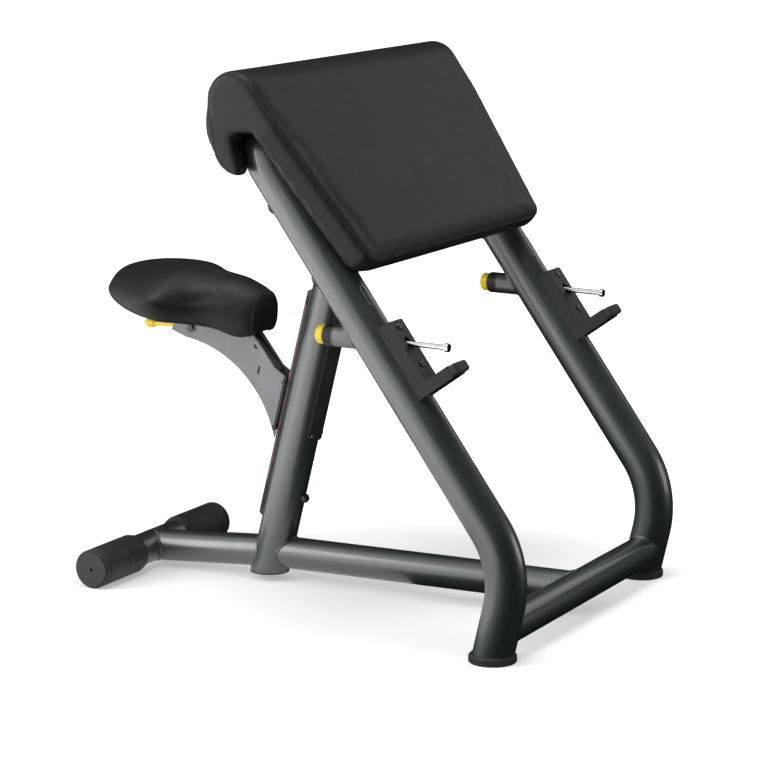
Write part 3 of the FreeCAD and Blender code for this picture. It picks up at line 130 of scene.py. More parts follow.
# The other materials: two colours, roughness range, scale of the mottle, strength and scale of the grain
LOOKS = {
    "frame_paint": dict(low=(0.009, 0.019, 0.0155), high=(0.013, 0.025, 0.021), rough=(0.40, 0.46),
                        mottle=5.0, coat=0.6, index=2.0, grain=(0.03, 650.0)),
    "bracket_paint": dict(low=(0.175, 0.180, 0.185), high=(0.215, 0.221, 0.227), rough=(0.38, 0.52),
                          mottle=22.0, metallic=0.35, grain=(0.10, 900.0)),
    "dark_paint": dict(low=(0.013, 0.012, 0.015), high=(0.020, 0.019, 0.022), rough=(0.40, 0.50),
                       mottle=14.0, specular=0.3, grain=(0.18, 1500.0)),
    "black_rubber": dict(low=(0.022, 0.021, 0.023), high=(0.034, 0.033, 0.035), rough=(0.50, 0.66),
                         mottle=30.0, specular=0.35, grain=(0.22, 1100.0)),
    "black_plastic": dict(low=(0.011, 0.011, 0.012), high=(0.018, 0.018, 0.019), rough=(0.36, 0.50),
                          mottle=25.0, grain=(0.10, 1700.0)),
    "cover_plastic": dict(low=(0.014, 0.012, 0.016), high=(0.022, 0.019, 0.025), rough=(0.45, 0.58),
                          mottle=18.0, grain=(0.20, 1400.0)),
    "chrome_rod": dict(low=(0.66, 0.66, 0.67), high=(0.80, 0.80, 0.81), rough=(0.06, 0.14),
                       mottle=40.0, metallic=1.0),
    "yellow_plastic": dict(low=(0.93, 0.64, 0.008), high=(0.98, 0.72, 0.014), rough=(0.26, 0.36),
                           mottle=30.0, coat=0.3, grain=(0.04, 900.0)),
    "bare_steel": dict(low=(0.36, 0.36, 0.37), high=(0.52, 0.52, 0.53), rough=(0.24, 0.42),
                       mottle=60.0, metallic=1.0, grain=(0.06, 2200.0)),
    "black_steel": dict(low=(0.016, 0.016, 0.017), high=(0.034, 0.034, 0.036), rough=(0.22, 0.32),
                        mottle=60.0, metallic=0.6, coat=0.6, grain=(0.06, 2000.0)),
    "plywood": dict(low=(0.008, 0.008, 0.008), high=(0.014, 0.013, 0.013), rough=(0.55, 0.75),
                    mottle=45.0, grain=(0.3, 300.0)),
    "scale_print": dict(low=(0.085, 0.085, 0.088), high=(0.12, 0.12, 0.125), rough=(0.45, 0.60),
                        mottle=40.0, grain=(0.05, 1500.0)),
    "placard_edge": dict(low=(0.16, 0.17, 0.165), high=(0.20, 0.21, 0.205), rough=(0.45, 0.6),
                         mottle=60.0, grain=(0.05, 900.0)),
    "mark_red": dict(low=(0.48, 0.045, 0.038), high=(0.58, 0.060, 0.050), rough=(0.45, 0.55), mottle=80.0),
    "seam_thread": dict(low=(0.060, 0.060, 0.062), high=(0.090, 0.090, 0.093), rough=(0.50, 0.65),
                        mottle=300.0, grain=(0.4, 3000.0)),
}

# Weld beads
BEAD_R = 0.0026
GUIDE_BEAD_R = 0.00182
BEAD_STEPS = 120
BEAD_RIPPLES = 40
BEAD_RIPPLE = 0.13
BEAD_SIDES = 8
SAME_TUBE_FIT = 0.995

# Soft goods
PAD_VOXEL = 0.007
SEAT_VOXEL = 0.0045
EASE_STEPS = 6
EASE_FACTOR = 0.5
CLOTH_FRAMES = 20
CLOTH_PRESSURE = 4.0
CLOTH_QUALITY = 4
CLOTH_MASS = 0.3
CLOTH_STRETCH = 15
CLOTH_SHEAR = 5
CLOTH_BEND = 0.6
PAD_CAP = 0.003
SEAT_CAP = 0.004
HELD_WITHIN = 0.008
COVERED_HALF = 0.312
COVERED_R = 0.043
COVERED_SIDES = 64
SETTLE = 0.9

# The roll's fuller rear
ROLL_SWELL = 0.007
ROLL_SWELL_DEPTH = 0.035

# The seat's tighter waist and fuller nose
WAIST_AT = -0.038
WAIST_REACH = 0.060
WAIST_PINCH = 0.11
WAIST_DIP = 0.004
NOSE_FULL_AT = 0.045
NOSE_FULL_REACH = 0.065
NOSE_FULL = 0.008
NOSE_FULL_BELOW = 0.035
NOSE_FULL_BESIDE = 0.026
FADE = 0.020

# Seams and stitches
SEAM_R = 0.0012
SEAM_SUNK = 0.3
SEAM_SIDES = 8
SEAM_FROM_EDGE = 0.0038
STITCH_R = 0.00045
STITCH_END_R = 0.00027
STITCH_L = 0.0040
STITCH_PITCH = 0.0062
STITCH_FROM_SEAM = 0.0028
STITCH_SIDES = 6
STITCH_SHARES = (-0.5, -0.3, 0.0, 0.3, 0.5)
STITCH_RADII = (STITCH_END_R, STITCH_R, STITCH_R, STITCH_R, STITCH_END_R)
STITCH_LIFT = 0.5
STITCH_DIVE = 4.8
ROLL_SEAM_START = 250
ROLL_SEAM_STEP = 8
PAD_SIDE_STEPS = 40
PAD_CORNER_STEP = 10
PAD_END_STEPS = 30
NOSE_SEAM_AT = 0.073
NOSE_SEAM_MIDDLE = 0.036
NOSE_SEAM_FROM = -62
NOSE_SEAM_TO = 243
NOSE_SEAM_STEP = 4

# Springs, copied as they stand: node, joint, body, the way they shorten and the joint's travel
SPRINGS = (
    ("left_rod_spring", "left_rod_pull", "frame", -ROD_AXIS, ROD_TRAVEL),
    ("right_rod_spring", "right_rod_pull", "frame", -ROD_AXIS, ROD_TRAVEL),
    ("lock_pin_spring", "lock_pin_draw", "seat_carriage", COLUMN_REAR, PIN_TRAVEL),
)

# Print on the height scale
SCALE_LOW = 0.196
SCALE_PITCH = 0.025
SCALE_STEPS = 15
TICK_L = 0.0044
TICK_T = 0.0020
DIGIT_SIZE = 0.0095
PRINT_LIFT = 0.00006
PRINT_FACE = -(RAIL_HALF + SCALE_T + PRINT_LIFT)

# Bare placards on the legs
PLACARD_ALONG = 0.551
PLACARD_TURN = 89.0
PLACARD_HALF_L = 0.020
PLACARD_HALF_W = 0.0125
PLACARD_CORNER = 0.005
PLACARD_CORNER_STEPS = 6
PLACARD_RIM = 0.0009
PLACARD_RIM_SIDES = 8

# Dark tab slots in the bracket plates
TAB_TOP = Vector((-0.2101, 0, 0.4719))
TAB_LOW = Vector((-0.2048, 0, 0.4636))
TAB_HALF = 0.0024
TAB_T = 0.0004

# Floor and world
FLOOR_HALF = 30.0
FLOOR_GREY = 0.86
FLOOR_WHITE_NEAR = 0.34
FLOOR_WHITE_FAR = 1.0
FLOOR_SHADOW_R = 0.45
FLOOR_WHITE_R = 1.3
WORLD_LIGHT = 0.40
WORLD_SEEN = 1.0

# Lamps
KEY_PLACE = (-2.3, -2.3, 1.6)
KEY_TARGET = (0, 0, 0.5)
KEY_SIZE = (1.8, 2.4)
KEY_POWER = 65
STRIP_AZIMUTHS = (112, 124)
STRIP_REACH = 3.0
STRIP_HEIGHT = 0.75
STRIP_SIZE = (0.10, 1.0)
STRIP_POWER = 5
TOP_PLACE = (0.2, -0.6, 3.4)
TOP_SIZE = (1.6, 1.6)
TOP_POWER = 45
LAMP_TARGET = (0, 0, 0.4)

# Black flags that only reflections see: name, azimuth from and to, height
FLAG_NEAR = 0.12
FLAG_FAR = 3.3
FLAG_LIFT = 0.002
FLAG_TALL = 6.0
FLAG_SHORT = 1.2
FLAG_STEP = 7
FLAGS = (
    ("flag_right", 14, 147, FLAG_TALL),
    ("flag_gap", 147, 175, FLAG_SHORT),
    ("flag_rear", 175, 259, FLAG_TALL),
)

Bar = namedtuple("Bar", "start end radius")


def on_leg(along, out, y):
    return LEG_CORNER + SLOPE_UP * along + SLOPE_OUT * out + SIDE * y


def on_column(up, out, y):
    return COLUMN_FOOT + COLUMN_UP * up + COLUMN_REAR * out + SIDE * y


def on_seat(forward, y, up):
    return SEAT_ORIGIN + SEAT_FORWARD * forward + SIDE * y + SEAT_UP * up


def around(azimuth, reach, height):
    """A place round the middle of the floor, by an azimuth counted as the camera's."""
    turn = math.radians(azimuth)
    return Vector((reach * math.sin(turn), -reach * math.cos(turn), height))


def add_object(name, data):
    obj = bpy.data.objects.new(name, data)
    scene.collection.objects.link(obj)
    return obj


# Materials
def start_material(name):
    mat = bpy.data.materials.new(name)
    mat.use_nodes = True
    tree = mat.node_tree
    shader = tree.nodes["Principled BSDF"]
    place = tree.nodes.new("ShaderNodeTexCoord").outputs["Object"]
    return mat, tree, shader, place


def bare_material(name):
    """A material with nothing in it but its output."""
    mat = bpy.data.materials.new(name)
    mat.use_nodes = True
    tree = mat.node_tree
    tree.nodes.clear()
    out = tree.nodes.new("ShaderNodeOutputMaterial")
    return mat, tree, out.inputs["Surface"]


def noise(tree, place, scale, detail):
    node = tree.nodes.new("ShaderNodeTexNoise")
    node.inputs["Scale"].default_value = scale
    node.inputs["Detail"].default_value = detail
    tree.links.new(place, node.inputs["Vector"])
    return node.outputs["Fac"]


def cells(tree, place, scale):
    node = tree.nodes.new("ShaderNodeTexVoronoi")
    node.inputs["Scale"].default_value = scale
    tree.links.new(place, node.inputs["Vector"])
    return node.outputs["Distance"]


def spread(tree, factor, low, high, start=TEXTURE_LOW, end=TEXTURE_HIGH):
    """Maps a texture to a range of values."""
    node = tree.nodes.new("ShaderNodeMapRange")
    node.inputs["From Min"].default_value = start
    node.inputs["From Max"].default_value = end
    node.inputs["To Min"].default_value = low
    node.inputs["To Max"].default_value = high
    tree.links.new(factor, node.inputs["Value"])
    return node.outputs["Result"]


def two_colours(tree, factor, low, high):
    """Maps a texture to a mix of two colours."""
    node = tree.nodes.new("ShaderNodeValToRGB")
    first, second = node.color_ramp.elements
    first.position = TEXTURE_LOW
    second.position = TEXTURE_HIGH
    first.color = (*low, 1)
    second.color = (*high, 1)
    tree.links.new(factor, node.inputs["Fac"])
    return node.outputs["Color"]


def add_bump(tree, shader, height, strength, depth):
    node = tree.nodes.new("ShaderNodeBump")
    node.inputs["Strength"].default_value = strength
    node.inputs["Distance"].default_value = depth
    tree.links.new(height, node.inputs["Height"])
    below = shader.inputs["Normal"]
    if below.is_linked:
        tree.links.new(below.links[0].from_socket, node.inputs["Normal"])
    tree.links.new(node.outputs["Normal"], below)


def surface(name, low, high, rough, mottle, metallic=0.0, coat=0.0, specular=0.5, index=1.5, grain=None):
    """A material with mottled colour, uneven roughness and a fine grain."""
    mat, tree, shader, place = start_material(name)
    mottled = noise(tree, place, mottle, MOTTLE_DETAIL)
    tree.links.new(two_colours(tree, mottled, low, high), shader.inputs["Base Color"])
    streaks = noise(tree, place, mottle * STREAK_SCALE, STREAK_DETAIL)
    tree.links.new(spread(tree, streaks, *rough), shader.inputs["Roughness"])
    shader.inputs["Metallic"].default_value = metallic
    shader.inputs["Coat Weight"].default_value = coat
    shader.inputs["Coat Roughness"].default_value = COAT_ROUGHNESS
    shader.inputs["Specular IOR Level"].default_value = specular
    shader.inputs["IOR"].default_value = index
    if grain:
        strength, scale = grain
        add_bump(tree, shader, noise(tree, place, scale, GRAIN_DETAIL), strength, GRAIN_DEPTH)
    return mat


def vinyl(name):
    """Upholstery vinyl: pebbled grain, faint creases and a soft sheen."""
    mat, tree, shader, place = start_material(name)
    cloudy = noise(tree, place, VINYL_CLOUD_SCALE, STREAK_DETAIL)
    tree.links.new(two_colours(tree, cloudy, VINYL_LOW, VINYL_HIGH), shader.inputs["Base Color"])
    sheen = noise(tree, place, VINYL_SHEEN_SCALE, STREAK_DETAIL)
    tree.links.new(spread(tree, sheen, *VINYL_ROUGH), shader.inputs["Roughness"])
    shader.inputs["Specular IOR Level"].default_value = VINYL_SPECULAR
    creases = noise(tree, place, VINYL_CREASE_SCALE, MOTTLE_DETAIL)
    add_bump(tree, shader, creases, VINYL_CREASE, VINYL_CREASE_DEPTH)
    add_bump(tree, shader, cells(tree, place, VINYL_PEBBLE_SCALE), VINYL_PEBBLE, GRAIN_DEPTH)
    return mat


materials = {name: surface(name, **look) for name, look in LOOKS.items()}
materials["black_vinyl"] = vinyl("black_vinyl")


def dress(obj, name):
    obj.data.materials.clear()
    obj.data.materials.append(materials[name])


# Mesh helpers
def new_piece(name, shape, body, slot, look=None, smooth=True):
    verts, faces = shape
    mesh = bpy.data.meshes.new(name)
    mesh.from_pydata([tuple(v) for v in verts], [], faces)
    mesh.update()
    if smooth:
        mesh.shade_smooth()
    obj = add_object(name, mesh)
    dress(obj, look or slot)
    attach(obj, body)


def side_axes(direction):
    """Two directions square to a direction and to each other."""
    steep = 0.9
    helper = Vector((0, 0, 1)) if abs(direction.z) < steep else Vector((1, 0, 0))
    u = direction.cross(helper).normalized()
    return u, direction.cross(u).normalized()


def tube_mesh(points, radii, sides, closed):
    """Rings of points round a path, as vertices and faces."""
    count = len(points)
    verts, faces = [], []
    for k in range(count):
        before = points[k - 1] if closed or k else points[k]
        after = points[(k + 1) % count] if closed or k + 1 < count else points[k]
        u, v = side_axes((after - before).normalized())
        for s in range(sides):
            turn = 2 * math.pi * s / sides
            verts.append(points[k] + (u * math.cos(turn) + v * math.sin(turn)) * radii[k])
    spans = count if closed else count - 1
    for k in range(spans):
        a, b = k * sides, (k + 1) % count * sides
        for s in range(sides):
            t = (s + 1) % sides
            faces.append((a + s, a + t, b + t, b + s))
    if not closed:
        faces.append(tuple(reversed(range(sides))))
        faces.append(tuple(range((count - 1) * sides, count * sides)))
    return verts, faces


def joined(meshes):
    """Several vertex and face lists as one."""
    verts, faces = [], []
    for some_verts, some_faces in meshes:
        start = len(verts)
        verts += some_verts
        faces += [tuple(i + start for i in f) for f in some_faces]
    return verts, faces


def tree_of(*objs):
    """A search tree over the shown surfaces of some objects."""
    graph = bpy.context.evaluated_depsgraph_get()
    meshes = []
    for obj in objs:
        mesh = obj.evaluated_get(graph).to_mesh()
        meshes.append(([v.co.copy() for v in mesh.vertices], [tuple(p.vertices) for p in mesh.polygons]))
    return BVHTree.FromPolygons(*joined(meshes))


# Weld beads
def saddle(start, axis, radius, other_point, other_axis, other_radius):
    """The loop where a tube along axis runs into another tube."""
    u, v = side_axes(axis)
    loop = []
    for k in range(BEAD_STEPS):
        turn = 2 * math.pi * k / BEAD_STEPS
        at = start + (u * math.cos(turn) + v * math.sin(turn)) * radius
        gap = at - other_point
        gap -= other_axis * gap.dot(other_axis)
        run = axis - other_axis * axis.dot(other_axis)
        a, b, c = run.dot(run), 2 * gap.dot(run), gap.dot(gap) - other_radius ** 2
        inside = max(0.0, b * b - 4 * a * c)
        loop.append(at + axis * ((-b - math.sqrt(inside)) / (2 * a)))
    return loop


def bead(name, loop, size=BEAD_R):
    radii = []
    for k in range(len(loop)):
        ripple = math.sin(2 * math.pi * BEAD_RIPPLES * k / len(loop))
        radii.append(size * (1 + BEAD_RIPPLE * ripple))
    new_piece(name, tube_mesh(loop, radii, BEAD_SIDES, True), "frame", "frame_paint")


def make_beads():
    for word, bar in (("front", CROSSBAR), ("rear", REAR_BAR)):
        away = (bar - BEAM_JOINT).normalized()
        bead("weld_" + word + "_beam_column", saddle(bar, -away, BEAM_R, COLUMN_FOOT, COLUMN_UP, LEG_R))
        bead("weld_" + word + "_beam_crossbar",
             saddle(BEAM_JOINT, away, BEAM_R * SAME_TUBE_FIT, bar, SIDE, BEAM_R))
    for word, sign in SIDES:
        leg = LEG_CORNER + SIDE * LEG_Y * sign
        bead("weld_crossbar_" + word + "_leg", saddle(CROSSBAR, SIDE * sign, BEAM_R, leg, LEG_UP, LEG_R))
        rod_start = HOOK_FACE + ROD_AXIS * ROD_BEHIND_LEG + SIDE * LEG_Y * sign
        bead("weld_guide_" + word, saddle(rod_start, ROD_AXIS, GUIDE_R, leg, SLOPE_UP, LEG_R), GUIDE_BEAD_R)


# Soft goods
def apply_modifiers(obj):
    graph = bpy.context.evaluated_depsgraph_get()
    shaped = bpy.data.meshes.new_from_object(obj.evaluated_get(graph))
    obj.modifiers.clear()
    obj.data = shaped


def soft_copy(node, board, name, voxel, cover):
    """A remeshed and eased copy of a CAD solid, the board inside it and a bar that it covers."""
    shell = bmesh.new()
    shell.from_mesh(nodes[node].data)
    shell.from_mesh(nodes[board].data)
    if cover:
        run = cover.end - cover.start
        turned = run.to_track_quat("Z", "Y").to_matrix().to_4x4()
        place = Matrix.Translation((cover.start + cover.end) / 2) @ turned
        bmesh.ops.create_cone(shell, cap_ends=True, segments=COVERED_SIDES, depth=run.length, matrix=place,
                              radius1=cover.radius, radius2=cover.radius)
    mesh = bpy.data.meshes.new(name)
    shell.to_mesh(mesh)
    shell.free()
    obj = add_object(name, mesh)
    remesh = obj.modifiers.new("remesh", "REMESH")
    remesh.mode = "VOXEL"
    remesh.voxel_size = voxel
    ease = obj.modifiers.new("ease", "CORRECTIVE_SMOOTH")
    ease.use_only_smooth = True
    ease.iterations = EASE_STEPS
    ease.factor = EASE_FACTOR
    apply_modifiers(obj)
    return obj


def puff(obj, hard_nodes, cap):
    """Inflates a pad as cloth; the points on its board and frame stay where they are."""
    hard = tree_of(*[nodes[n] for n in hard_nodes])
    held = obj.vertex_groups.new(name="held")
    rest = [v.co.copy() for v in obj.data.vertices]
    for k, co in enumerate(rest):
        if hard.find_nearest(co)[3] < HELD_WITHIN:
            held.add([k], 1.0, "REPLACE")
    cloth = obj.modifiers.new("cloth", "CLOTH")
    settings = cloth.settings
    settings.quality = CLOTH_QUALITY
    settings.mass = CLOTH_MASS
    settings.tension_stiffness = CLOTH_STRETCH
    settings.compression_stiffness = CLOTH_STRETCH
    settings.shear_stiffness = CLOTH_SHEAR
    settings.bending_stiffness = CLOTH_BEND
    settings.use_pressure = True
    settings.uniform_pressure_force = CLOTH_PRESSURE
    settings.vertex_group_mass = "held"
    settings.effector_weights.gravity = 0
    cloth.point_cache.frame_start = 1
    cloth.point_cache.frame_end = CLOTH_FRAMES
    for step in range(1, CLOTH_FRAMES + 1):
        scene.frame_set(step)
    apply_modifiers(obj)
    for v, start in zip(obj.data.vertices, rest):
        move = v.co - start
        if move.length > cap:
            v.co = start + move * (cap / move.length)
    scene.frame_set(1)


def from_bar(point, cover):
    """The way from a covered bar's middle line to a point, and whether the point is between its ends."""
    foot, share = intersect_point_line(point, cover.start, cover.end)
    return point - foot, 0 < share < 1


def settle(obj, node, board, cover):
    """Brings points that sank under the solid's own surface, or a covered bar's, back out to it."""
    solid = tree_of(nodes[node], nodes[board])
    for v in obj.data.vertices:
        at, normal, _, _ = solid.find_nearest(v.co)
        out, beside = from_bar(v.co, cover) if cover else (None, False)
        if beside and from_bar(at, cover)[0].length < cover.radius:
            v.co += out * max(0.0, cover.radius / out.length - 1) * SETTLE
        elif (at - v.co).dot(normal) > 0:
            v.co += (at - v.co) * SETTLE


def upholster(node, board, name, voxel, cap, hard_nodes, body, cover=None):
    """A soft cover in place of a pad's solid."""
    obj = soft_copy(node, board, name, voxel, cover)
    puff(obj, hard_nodes, cap)
    settle(obj, node, board, cover)
    obj.data.shade_smooth()
    smooth = obj.modifiers.new("smooth", "SUBSURF")
    smooth.levels = 1
    smooth.render_levels = 1
    dress(obj, "black_vinyl")
    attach(obj, body)
    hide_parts(node)
    return obj


def fill_roll(pad):
    """Makes the rear of the pad's roll fuller than the solid's."""
    for v in pad.data.vertices:
        behind = -(v.co - LEG_CORNER).dot(SLOPE_OUT) / ROLL_SWELL_DEPTH
        if behind > 0:
            v.co -= SLOPE_OUT * ROLL_SWELL * min(1.0, behind)


def hump(share):
    """One in the middle, falling smoothly to nothing at both ends."""
    return (1 - share * share) ** 2 if abs(share) < 1 else 0.0


def ramp(distance):
    """Nothing up to zero, then rising to one over the fade."""
    return min(1.0, max(0.0, distance / FADE))


def shape_seat(seat):
    """Makes the seat's waist tighter, and its nose fuller below, than the solid's."""
    for v in seat.data.vertices:
        place = v.co - SEAT_ORIGIN
        forward, high, beside = place.dot(SEAT_FORWARD), place.dot(SEAT_UP), abs(v.co.y)
        waist = hump((forward - WAIST_AT) / WAIST_REACH)
        nose = hump((forward - NOSE_FULL_AT) / NOSE_FULL_REACH)
        dip = WAIST_DIP * waist * ramp(high - NOSE_FULL_BELOW) * ramp(beside)
        sag = NOSE_FULL * nose * ramp(NOSE_FULL_BELOW - high) * ramp(beside - NOSE_FULL_BESIDE)
        v.co -= SEAT_UP * (dip + sag)
        v.co.y *= 1 - WAIST_PINCH * waist


# Seams and stitches
def pad_half(along):
    share = min(1.0, (along - PAD_LOW_END) / (PAD_STRAIGHT_END - PAD_LOW_END))
    return LEG_Y + PAD_LOW_OVERHANG + share * (PAD_HIGH_OVERHANG - PAD_LOW_OVERHANG)


def roll_arc(along, out, radius, first, last):
    """Places on the roll's outline, from one angle down to another."""
    places = []
    for angle in range(first, last, -ROLL_SEAM_STEP):
        turn = math.radians(angle)
        places.append((along + radius * math.sin(turn), out + radius * math.cos(turn)))
    return places


def pad_seam_route(inset):
    """The seam round the pad, from under one end of the roll to the other."""
    out = PAD_TOP - inset
    low = PAD_LOW_END + PAD_CORNER_R
    side = roll_arc(ROLL_LOW_ALONG, ROLL_LOW_OUT, ROLL_LOW_R - inset, ROLL_SEAM_START, ROLL_JOIN_ANGLE)
    side += roll_arc(ROLL_TOP_ALONG, PAD_TOP - ROLL_TOP_R, ROLL_TOP_R - inset, ROLL_JOIN_ANGLE, 0)
    for k in range(PAD_SIDE_STEPS + 1):
        side.append((ROLL_TOP_ALONG + (low - ROLL_TOP_ALONG) * k / PAD_SIDE_STEPS, out))
    route = [on_leg(along, rise, inset - pad_half(along)) for along, rise in side]
    half = pad_half(low) - inset
    for angle in range(PAD_CORNER_STEP, 90, PAD_CORNER_STEP):
        turn = math.radians(angle)
        along = low - PAD_CORNER_R * math.sin(turn)
        route.append(on_leg(along, out, -(half - PAD_CORNER_R * (1 - math.cos(turn)))))
    run = half - PAD_CORNER_R
    for k in range(PAD_END_STEPS + 1):
        route.append(on_leg(PAD_LOW_END + inset, out, -run + run * k / PAD_END_STEPS))
    return route + [Vector((p.x, -p.y, p.z)) for p in reversed(route[:-1])]


def nose_seam_route(seat_tree):
    """The seam over the seat's nose, from under one side to the other."""
    inside = on_seat(NOSE_SEAM_AT, 0, NOSE_SEAM_MIDDLE)
    route = []
    for angle in range(NOSE_SEAM_FROM, NOSE_SEAM_TO, NOSE_SEAM_STEP):
        turn = math.radians(angle)
        hit = seat_tree.ray_cast(inside, SIDE * math.cos(turn) + SEAT_UP * math.sin(turn))[0]
        if hit:
            route.append(hit)
    return route


def evenly(points, pitch):
    """Points a fixed way apart along a route, with the direction at each."""
    found, left = [], 0.0
    for a, b in zip(points, points[1:]):
        length = (b - a).length
        while left < length:
            found.append((a.lerp(b, left / length), (b - a).normalized()))
            left += pitch
        left -= length
    return found


def sew(name, route, surface_tree, body, toward):
    """A seam on a soft surface with a row of stitches beside it."""
    line = []
    for at, _ in evenly(route, STITCH_PITCH / 2):
        hit, normal, _, _ = surface_tree.find_nearest(at)
        line.append(hit - normal * SEAM_R * SEAM_SUNK)
    seam = tube_mesh(line, [SEAM_R] * len(line), SEAM_SIDES, False)
    new_piece(name + "_seam", seam, body, "black_vinyl")
    stitches = []
    for at, along in evenly(line, STITCH_PITCH):
        _, normal, _, _ = surface_tree.find_nearest(at)
        beside = normal.cross(along).normalized()
        middle = surface_tree.find_nearest(at + beside * STITCH_FROM_SEAM * toward)[0]
        thread = []
        for share in STITCH_SHARES:
            spot, normal, _, _ = surface_tree.find_nearest(middle + along * STITCH_L * share)
            thread.append(spot + normal * (STITCH_R * (STITCH_LIFT - STITCH_DIVE * share * share)))
        stitches.append(tube_mesh(thread, STITCH_RADII, STITCH_SIDES, False))
    new_piece(name + "_stitches", joined(stitches), body, "black_vinyl", "seam_thread")


# Small pieces
def make_springs():
    for node, joint, body, along, travel in SPRINGS:
        coil = add_object(node + "_coil", nodes[node].data.copy())
        dress(coil, "bare_steel")
        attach(coil, body)
        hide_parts(node)
        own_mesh(coil)


def printed_number(number, up, out):
    """A plain number lying on the scale, as vertices and faces."""
    curve = bpy.data.curves.new("number", "FONT")
    curve.body = number
    curve.size = DIGIT_SIZE
    obj = add_object("number", curve)
    mesh = obj.evaluated_get(bpy.context.evaluated_depsgraph_get()).to_mesh()
    verts = [on_column(up + v.co.y, out - v.co.x, PRINT_FACE) for v in mesh.vertices]
    faces = [tuple(p.vertices) for p in mesh.polygons]
    bpy.data.objects.remove(obj)
    return verts, faces


def print_scale():
    """Plain red marks, with a number at every other one, on the near side of the rail."""
    marks = []
    for step in range(SCALE_STEPS):
        up = SCALE_LOW + SCALE_PITCH * step
        low, high = up - TICK_T / 2, up + TICK_T / 2
        corners = [(low, RAIL_OUT - TICK_L), (low, RAIL_OUT), (high, RAIL_OUT), (high, RAIL_OUT - TICK_L)]
        marks.append(([on_column(u, o, PRINT_FACE) for u, o in corners], [(0, 1, 2, 3)]))
        if step % 2 == 0:
            marks.append(printed_number(str(step // 2 + 1), up + SCALE_PITCH / 2, RAIL_OUT))
    new_piece("scale_ticks", joined(marks), "frame", "scale_print", "mark_red", smooth=False)


def on_leg_skin(along, across, y):
    turn = math.radians(PLACARD_TURN) + across / LEG_R
    return on_leg(along, LEG_R * math.sin(turn), y - LEG_R * math.cos(turn))


def make_placard(word, sign):
    outline = []
    for corner, (a, b) in enumerate(((1, 1), (-1, 1), (-1, -1), (1, -1))):
        for step in range(PLACARD_CORNER_STEPS + 1):
            turn = math.radians(90 * (corner + step / PLACARD_CORNER_STEPS))
            along = a * (PLACARD_HALF_L - PLACARD_CORNER) + PLACARD_CORNER * math.cos(turn)
            across = b * (PLACARD_HALF_W - PLACARD_CORNER) + PLACARD_CORNER * math.sin(turn)
            outline.append(on_leg_skin(PLACARD_ALONG + along, across, LEG_Y * sign))
    rim = tube_mesh(outline, [PLACARD_RIM] * len(outline), PLACARD_RIM_SIDES, True)
    new_piece(word + "_placard", rim, "frame", "frame_paint", "placard_edge")


def make_plate_tab(word, sign):
    across = (TAB_TOP - TAB_LOW).normalized().cross(SIDE) * TAB_HALF
    ring = [TAB_TOP + across, TAB_TOP - across, TAB_LOW - across, TAB_LOW + across]
    verts = [p + SIDE * sign * y for y in (PLATE_OUTER - TAB_T, PLATE_OUTER + TAB_T) for p in ring]
    faces = [(0, 1, 2, 3), (7, 6, 5, 4)] + [(k, (k + 1) % 4, (k + 1) % 4 + 4, k + 4) for k in range(4)]
    new_piece(word + "_plate_tab", (verts, faces), "seat_carriage", "dark_paint", smooth=False)


# Floor, light and camera
def math_node(tree, operation, first, second):
    node = tree.nodes.new("ShaderNodeMath")
    node.operation = operation
    tree.links.new(first, node.inputs[0])
    tree.links.new(second, node.inputs[1])
    return node.outputs[0]


def seen_rays(tree):
    """One for the rays that show the background: to the camera, in metal and through glass."""
    rays = tree.nodes.new("ShaderNodeLightPath")
    seen = rays.outputs["Is Camera Ray"]
    for kind in ("Is Glossy Ray", "Is Transmission Ray"):
        seen = math_node(tree, "MAXIMUM", seen, rays.outputs[kind])
    return seen


def make_floor():
    """A floor that takes shadows near the bench and is plain white further out."""
    mat, tree, surface_socket = bare_material("floor_white")
    shade = tree.nodes.new("ShaderNodeBsdfDiffuse")
    shade.inputs["Color"].default_value = (FLOOR_GREY, FLOOR_GREY, FLOOR_GREY, 1)
    distance = tree.nodes.new("ShaderNodeVectorMath")
    distance.operation = "LENGTH"
    tree.links.new(tree.nodes.new("ShaderNodeTexCoord").outputs["Object"], distance.inputs[0])
    white = spread(tree, distance.outputs["Value"], FLOOR_WHITE_NEAR, FLOOR_WHITE_FAR,
                   FLOOR_SHADOW_R, FLOOR_WHITE_R)
    glow = tree.nodes.new("ShaderNodeEmission")
    tree.links.new(math_node(tree, "MULTIPLY", seen_rays(tree), white), glow.inputs["Strength"])
    both = tree.nodes.new("ShaderNodeAddShader")
    tree.links.new(shade.outputs[0], both.inputs[0])
    tree.links.new(glow.outputs[0], both.inputs[1])
    tree.links.new(both.outputs[0], surface_socket)
    mesh = bpy.data.meshes.new("floor")
    corners = [(x * FLOOR_HALF, y * FLOOR_HALF, 0) for x, y in ((-1, -1), (1, -1), (1, 1), (-1, 1))]
    mesh.from_pydata(corners, [], [(0, 1, 2, 3)])
    mesh.materials.append(mat)
    add_object("floor", mesh)


def background(tree, strength):
    node = tree.nodes.new("ShaderNodeBackground")
    node.inputs["Color"].default_value = (1, 1, 1, 1)
    node.inputs["Strength"].default_value = strength
    return node.outputs[0]


def make_world():
    """A white backdrop that gives less light than it shows."""
    world = bpy.data.worlds.new("studio")
    scene.world = world
    world.use_nodes = True
    tree = world.node_tree
    tree.nodes.clear()
    mix = tree.nodes.new("ShaderNodeMixShader")
    tree.links.new(seen_rays(tree), mix.inputs["Fac"])
    tree.links.new(background(tree, WORLD_LIGHT), mix.inputs[1])
    tree.links.new(background(tree, WORLD_SEEN), mix.inputs[2])
    out = tree.nodes.new("ShaderNodeOutputWorld")
    tree.links.new(mix.outputs[0], out.inputs["Surface"])


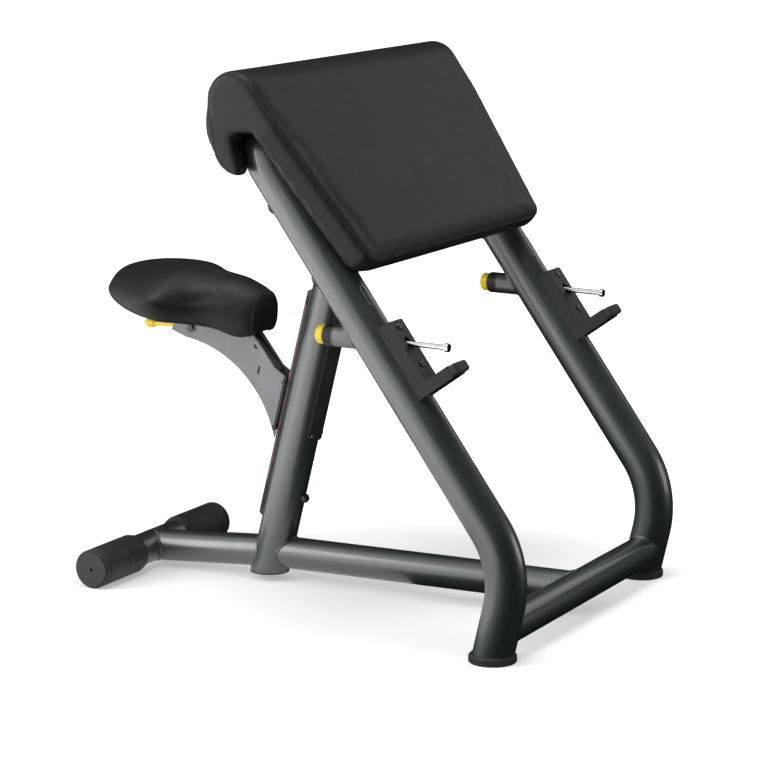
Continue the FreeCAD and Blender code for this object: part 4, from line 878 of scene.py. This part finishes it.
def lamp(name, place, target, size, power):
    light = bpy.data.lights.new(name, "AREA")
    light.shape = "RECTANGLE"
    light.size, light.size_y = size
    light.energy = power
    obj = add_object(name, light)
    obj.location = place
    obj.rotation_mode = "QUATERNION"
    obj.rotation_quaternion = (Vector(target) - Vector(place)).to_track_quat("-Z", "Y")


def make_lamps():
    lamp("key_left", KEY_PLACE, KEY_TARGET, KEY_SIZE, KEY_POWER)
    for azimuth in STRIP_AZIMUTHS:
        place = around(azimuth, STRIP_REACH, STRIP_HEIGHT)
        lamp("strip_" + str(azimuth), place, LAMP_TARGET, STRIP_SIZE, STRIP_POWER)
    lamp("top", TOP_PLACE, LAMP_TARGET, TOP_SIZE, TOP_POWER)


def make_flag(name, first, last, height, mat):
    """Black cloth between two azimuths: along the floor, then up."""
    verts, faces = [], []
    for azimuth in range(first, last + 1, FLAG_STEP):
        for reach, z in ((FLAG_NEAR, FLAG_LIFT), (FLAG_FAR, FLAG_LIFT), (FLAG_FAR, height)):
            verts.append(tuple(around(azimuth, reach, z)))
    for k in range(0, len(verts) - 3, 3):
        faces += [(k, k + 3, k + 4, k + 1), (k + 1, k + 4, k + 5, k + 2)]
    mesh = bpy.data.meshes.new(name)
    mesh.from_pydata(verts, [], faces)
    mesh.materials.append(mat)
    wall = add_object(name, mesh)
    wall.visible_camera = False
    wall.visible_diffuse = False
    wall.visible_transmission = False
    wall.visible_shadow = False


def make_flags():
    mat, tree, surface_socket = bare_material("flag_black")
    dark = tree.nodes.new("ShaderNodeEmission")
    dark.inputs["Strength"].default_value = 0.0
    tree.links.new(dark.outputs[0], surface_socket)
    for name, first, last, height in FLAGS:
        make_flag(name, first, last, height, mat)


def place_camera():
    lift = math.radians(CAMERA_ELEVATION)
    back = around(CAMERA_AZIMUTH, math.cos(lift), math.sin(lift))
    camera = add_object("camera", bpy.data.cameras.new("camera"))
    camera.data.lens = CAMERA_LENS
    camera.data.sensor_width = CAMERA_SENSOR
    camera.data.clip_end = CAMERA_CLIP_END
    camera.location = CAMERA_TARGET + back * CAMERA_DISTANCE
    camera.rotation_mode = "QUATERNION"
    camera.rotation_quaternion = (-back).to_track_quat("-Z", "Y")
    scene.camera = camera


# The bench
for entry in frame["record"]["subparts"]:
    dress(nodes[entry["node"]], entry["material_slot"])
make_beads()
top_bar = Bar(on_leg(TOP_BAR_ALONG, 0, -COVERED_HALF), on_leg(TOP_BAR_ALONG, 0, COVERED_HALF), COVERED_R)
pad = upholster("arm_pad", "pad_board", "arm_pad_upholstery", PAD_VOXEL, PAD_CAP,
                ("left_leg", "right_leg", "top_bar", "column", "pad_board"), "frame", top_bar)
seat = upholster("seat_cushion", "seat_board", "seat_upholstery", SEAT_VOXEL, SEAT_CAP,
                 ("seat_mount_plate", "seat_board"), "seat_carriage")
fill_roll(pad)
shape_seat(seat)
sew("arm_pad", pad_seam_route(SEAM_FROM_EDGE), tree_of(pad), "frame", 1)
seat_surface = tree_of(seat)
sew("seat_nose", nose_seam_route(seat_surface), seat_surface, "seat_carriage", -1)
make_springs()
print_scale()
for word, sign in SIDES:
    make_placard(word, sign)
    make_plate_tab(word, sign)

# The studio
scene.view_settings.view_transform = "Standard"
make_floor()
make_world()
make_lamps()
make_flags()
place_camera()
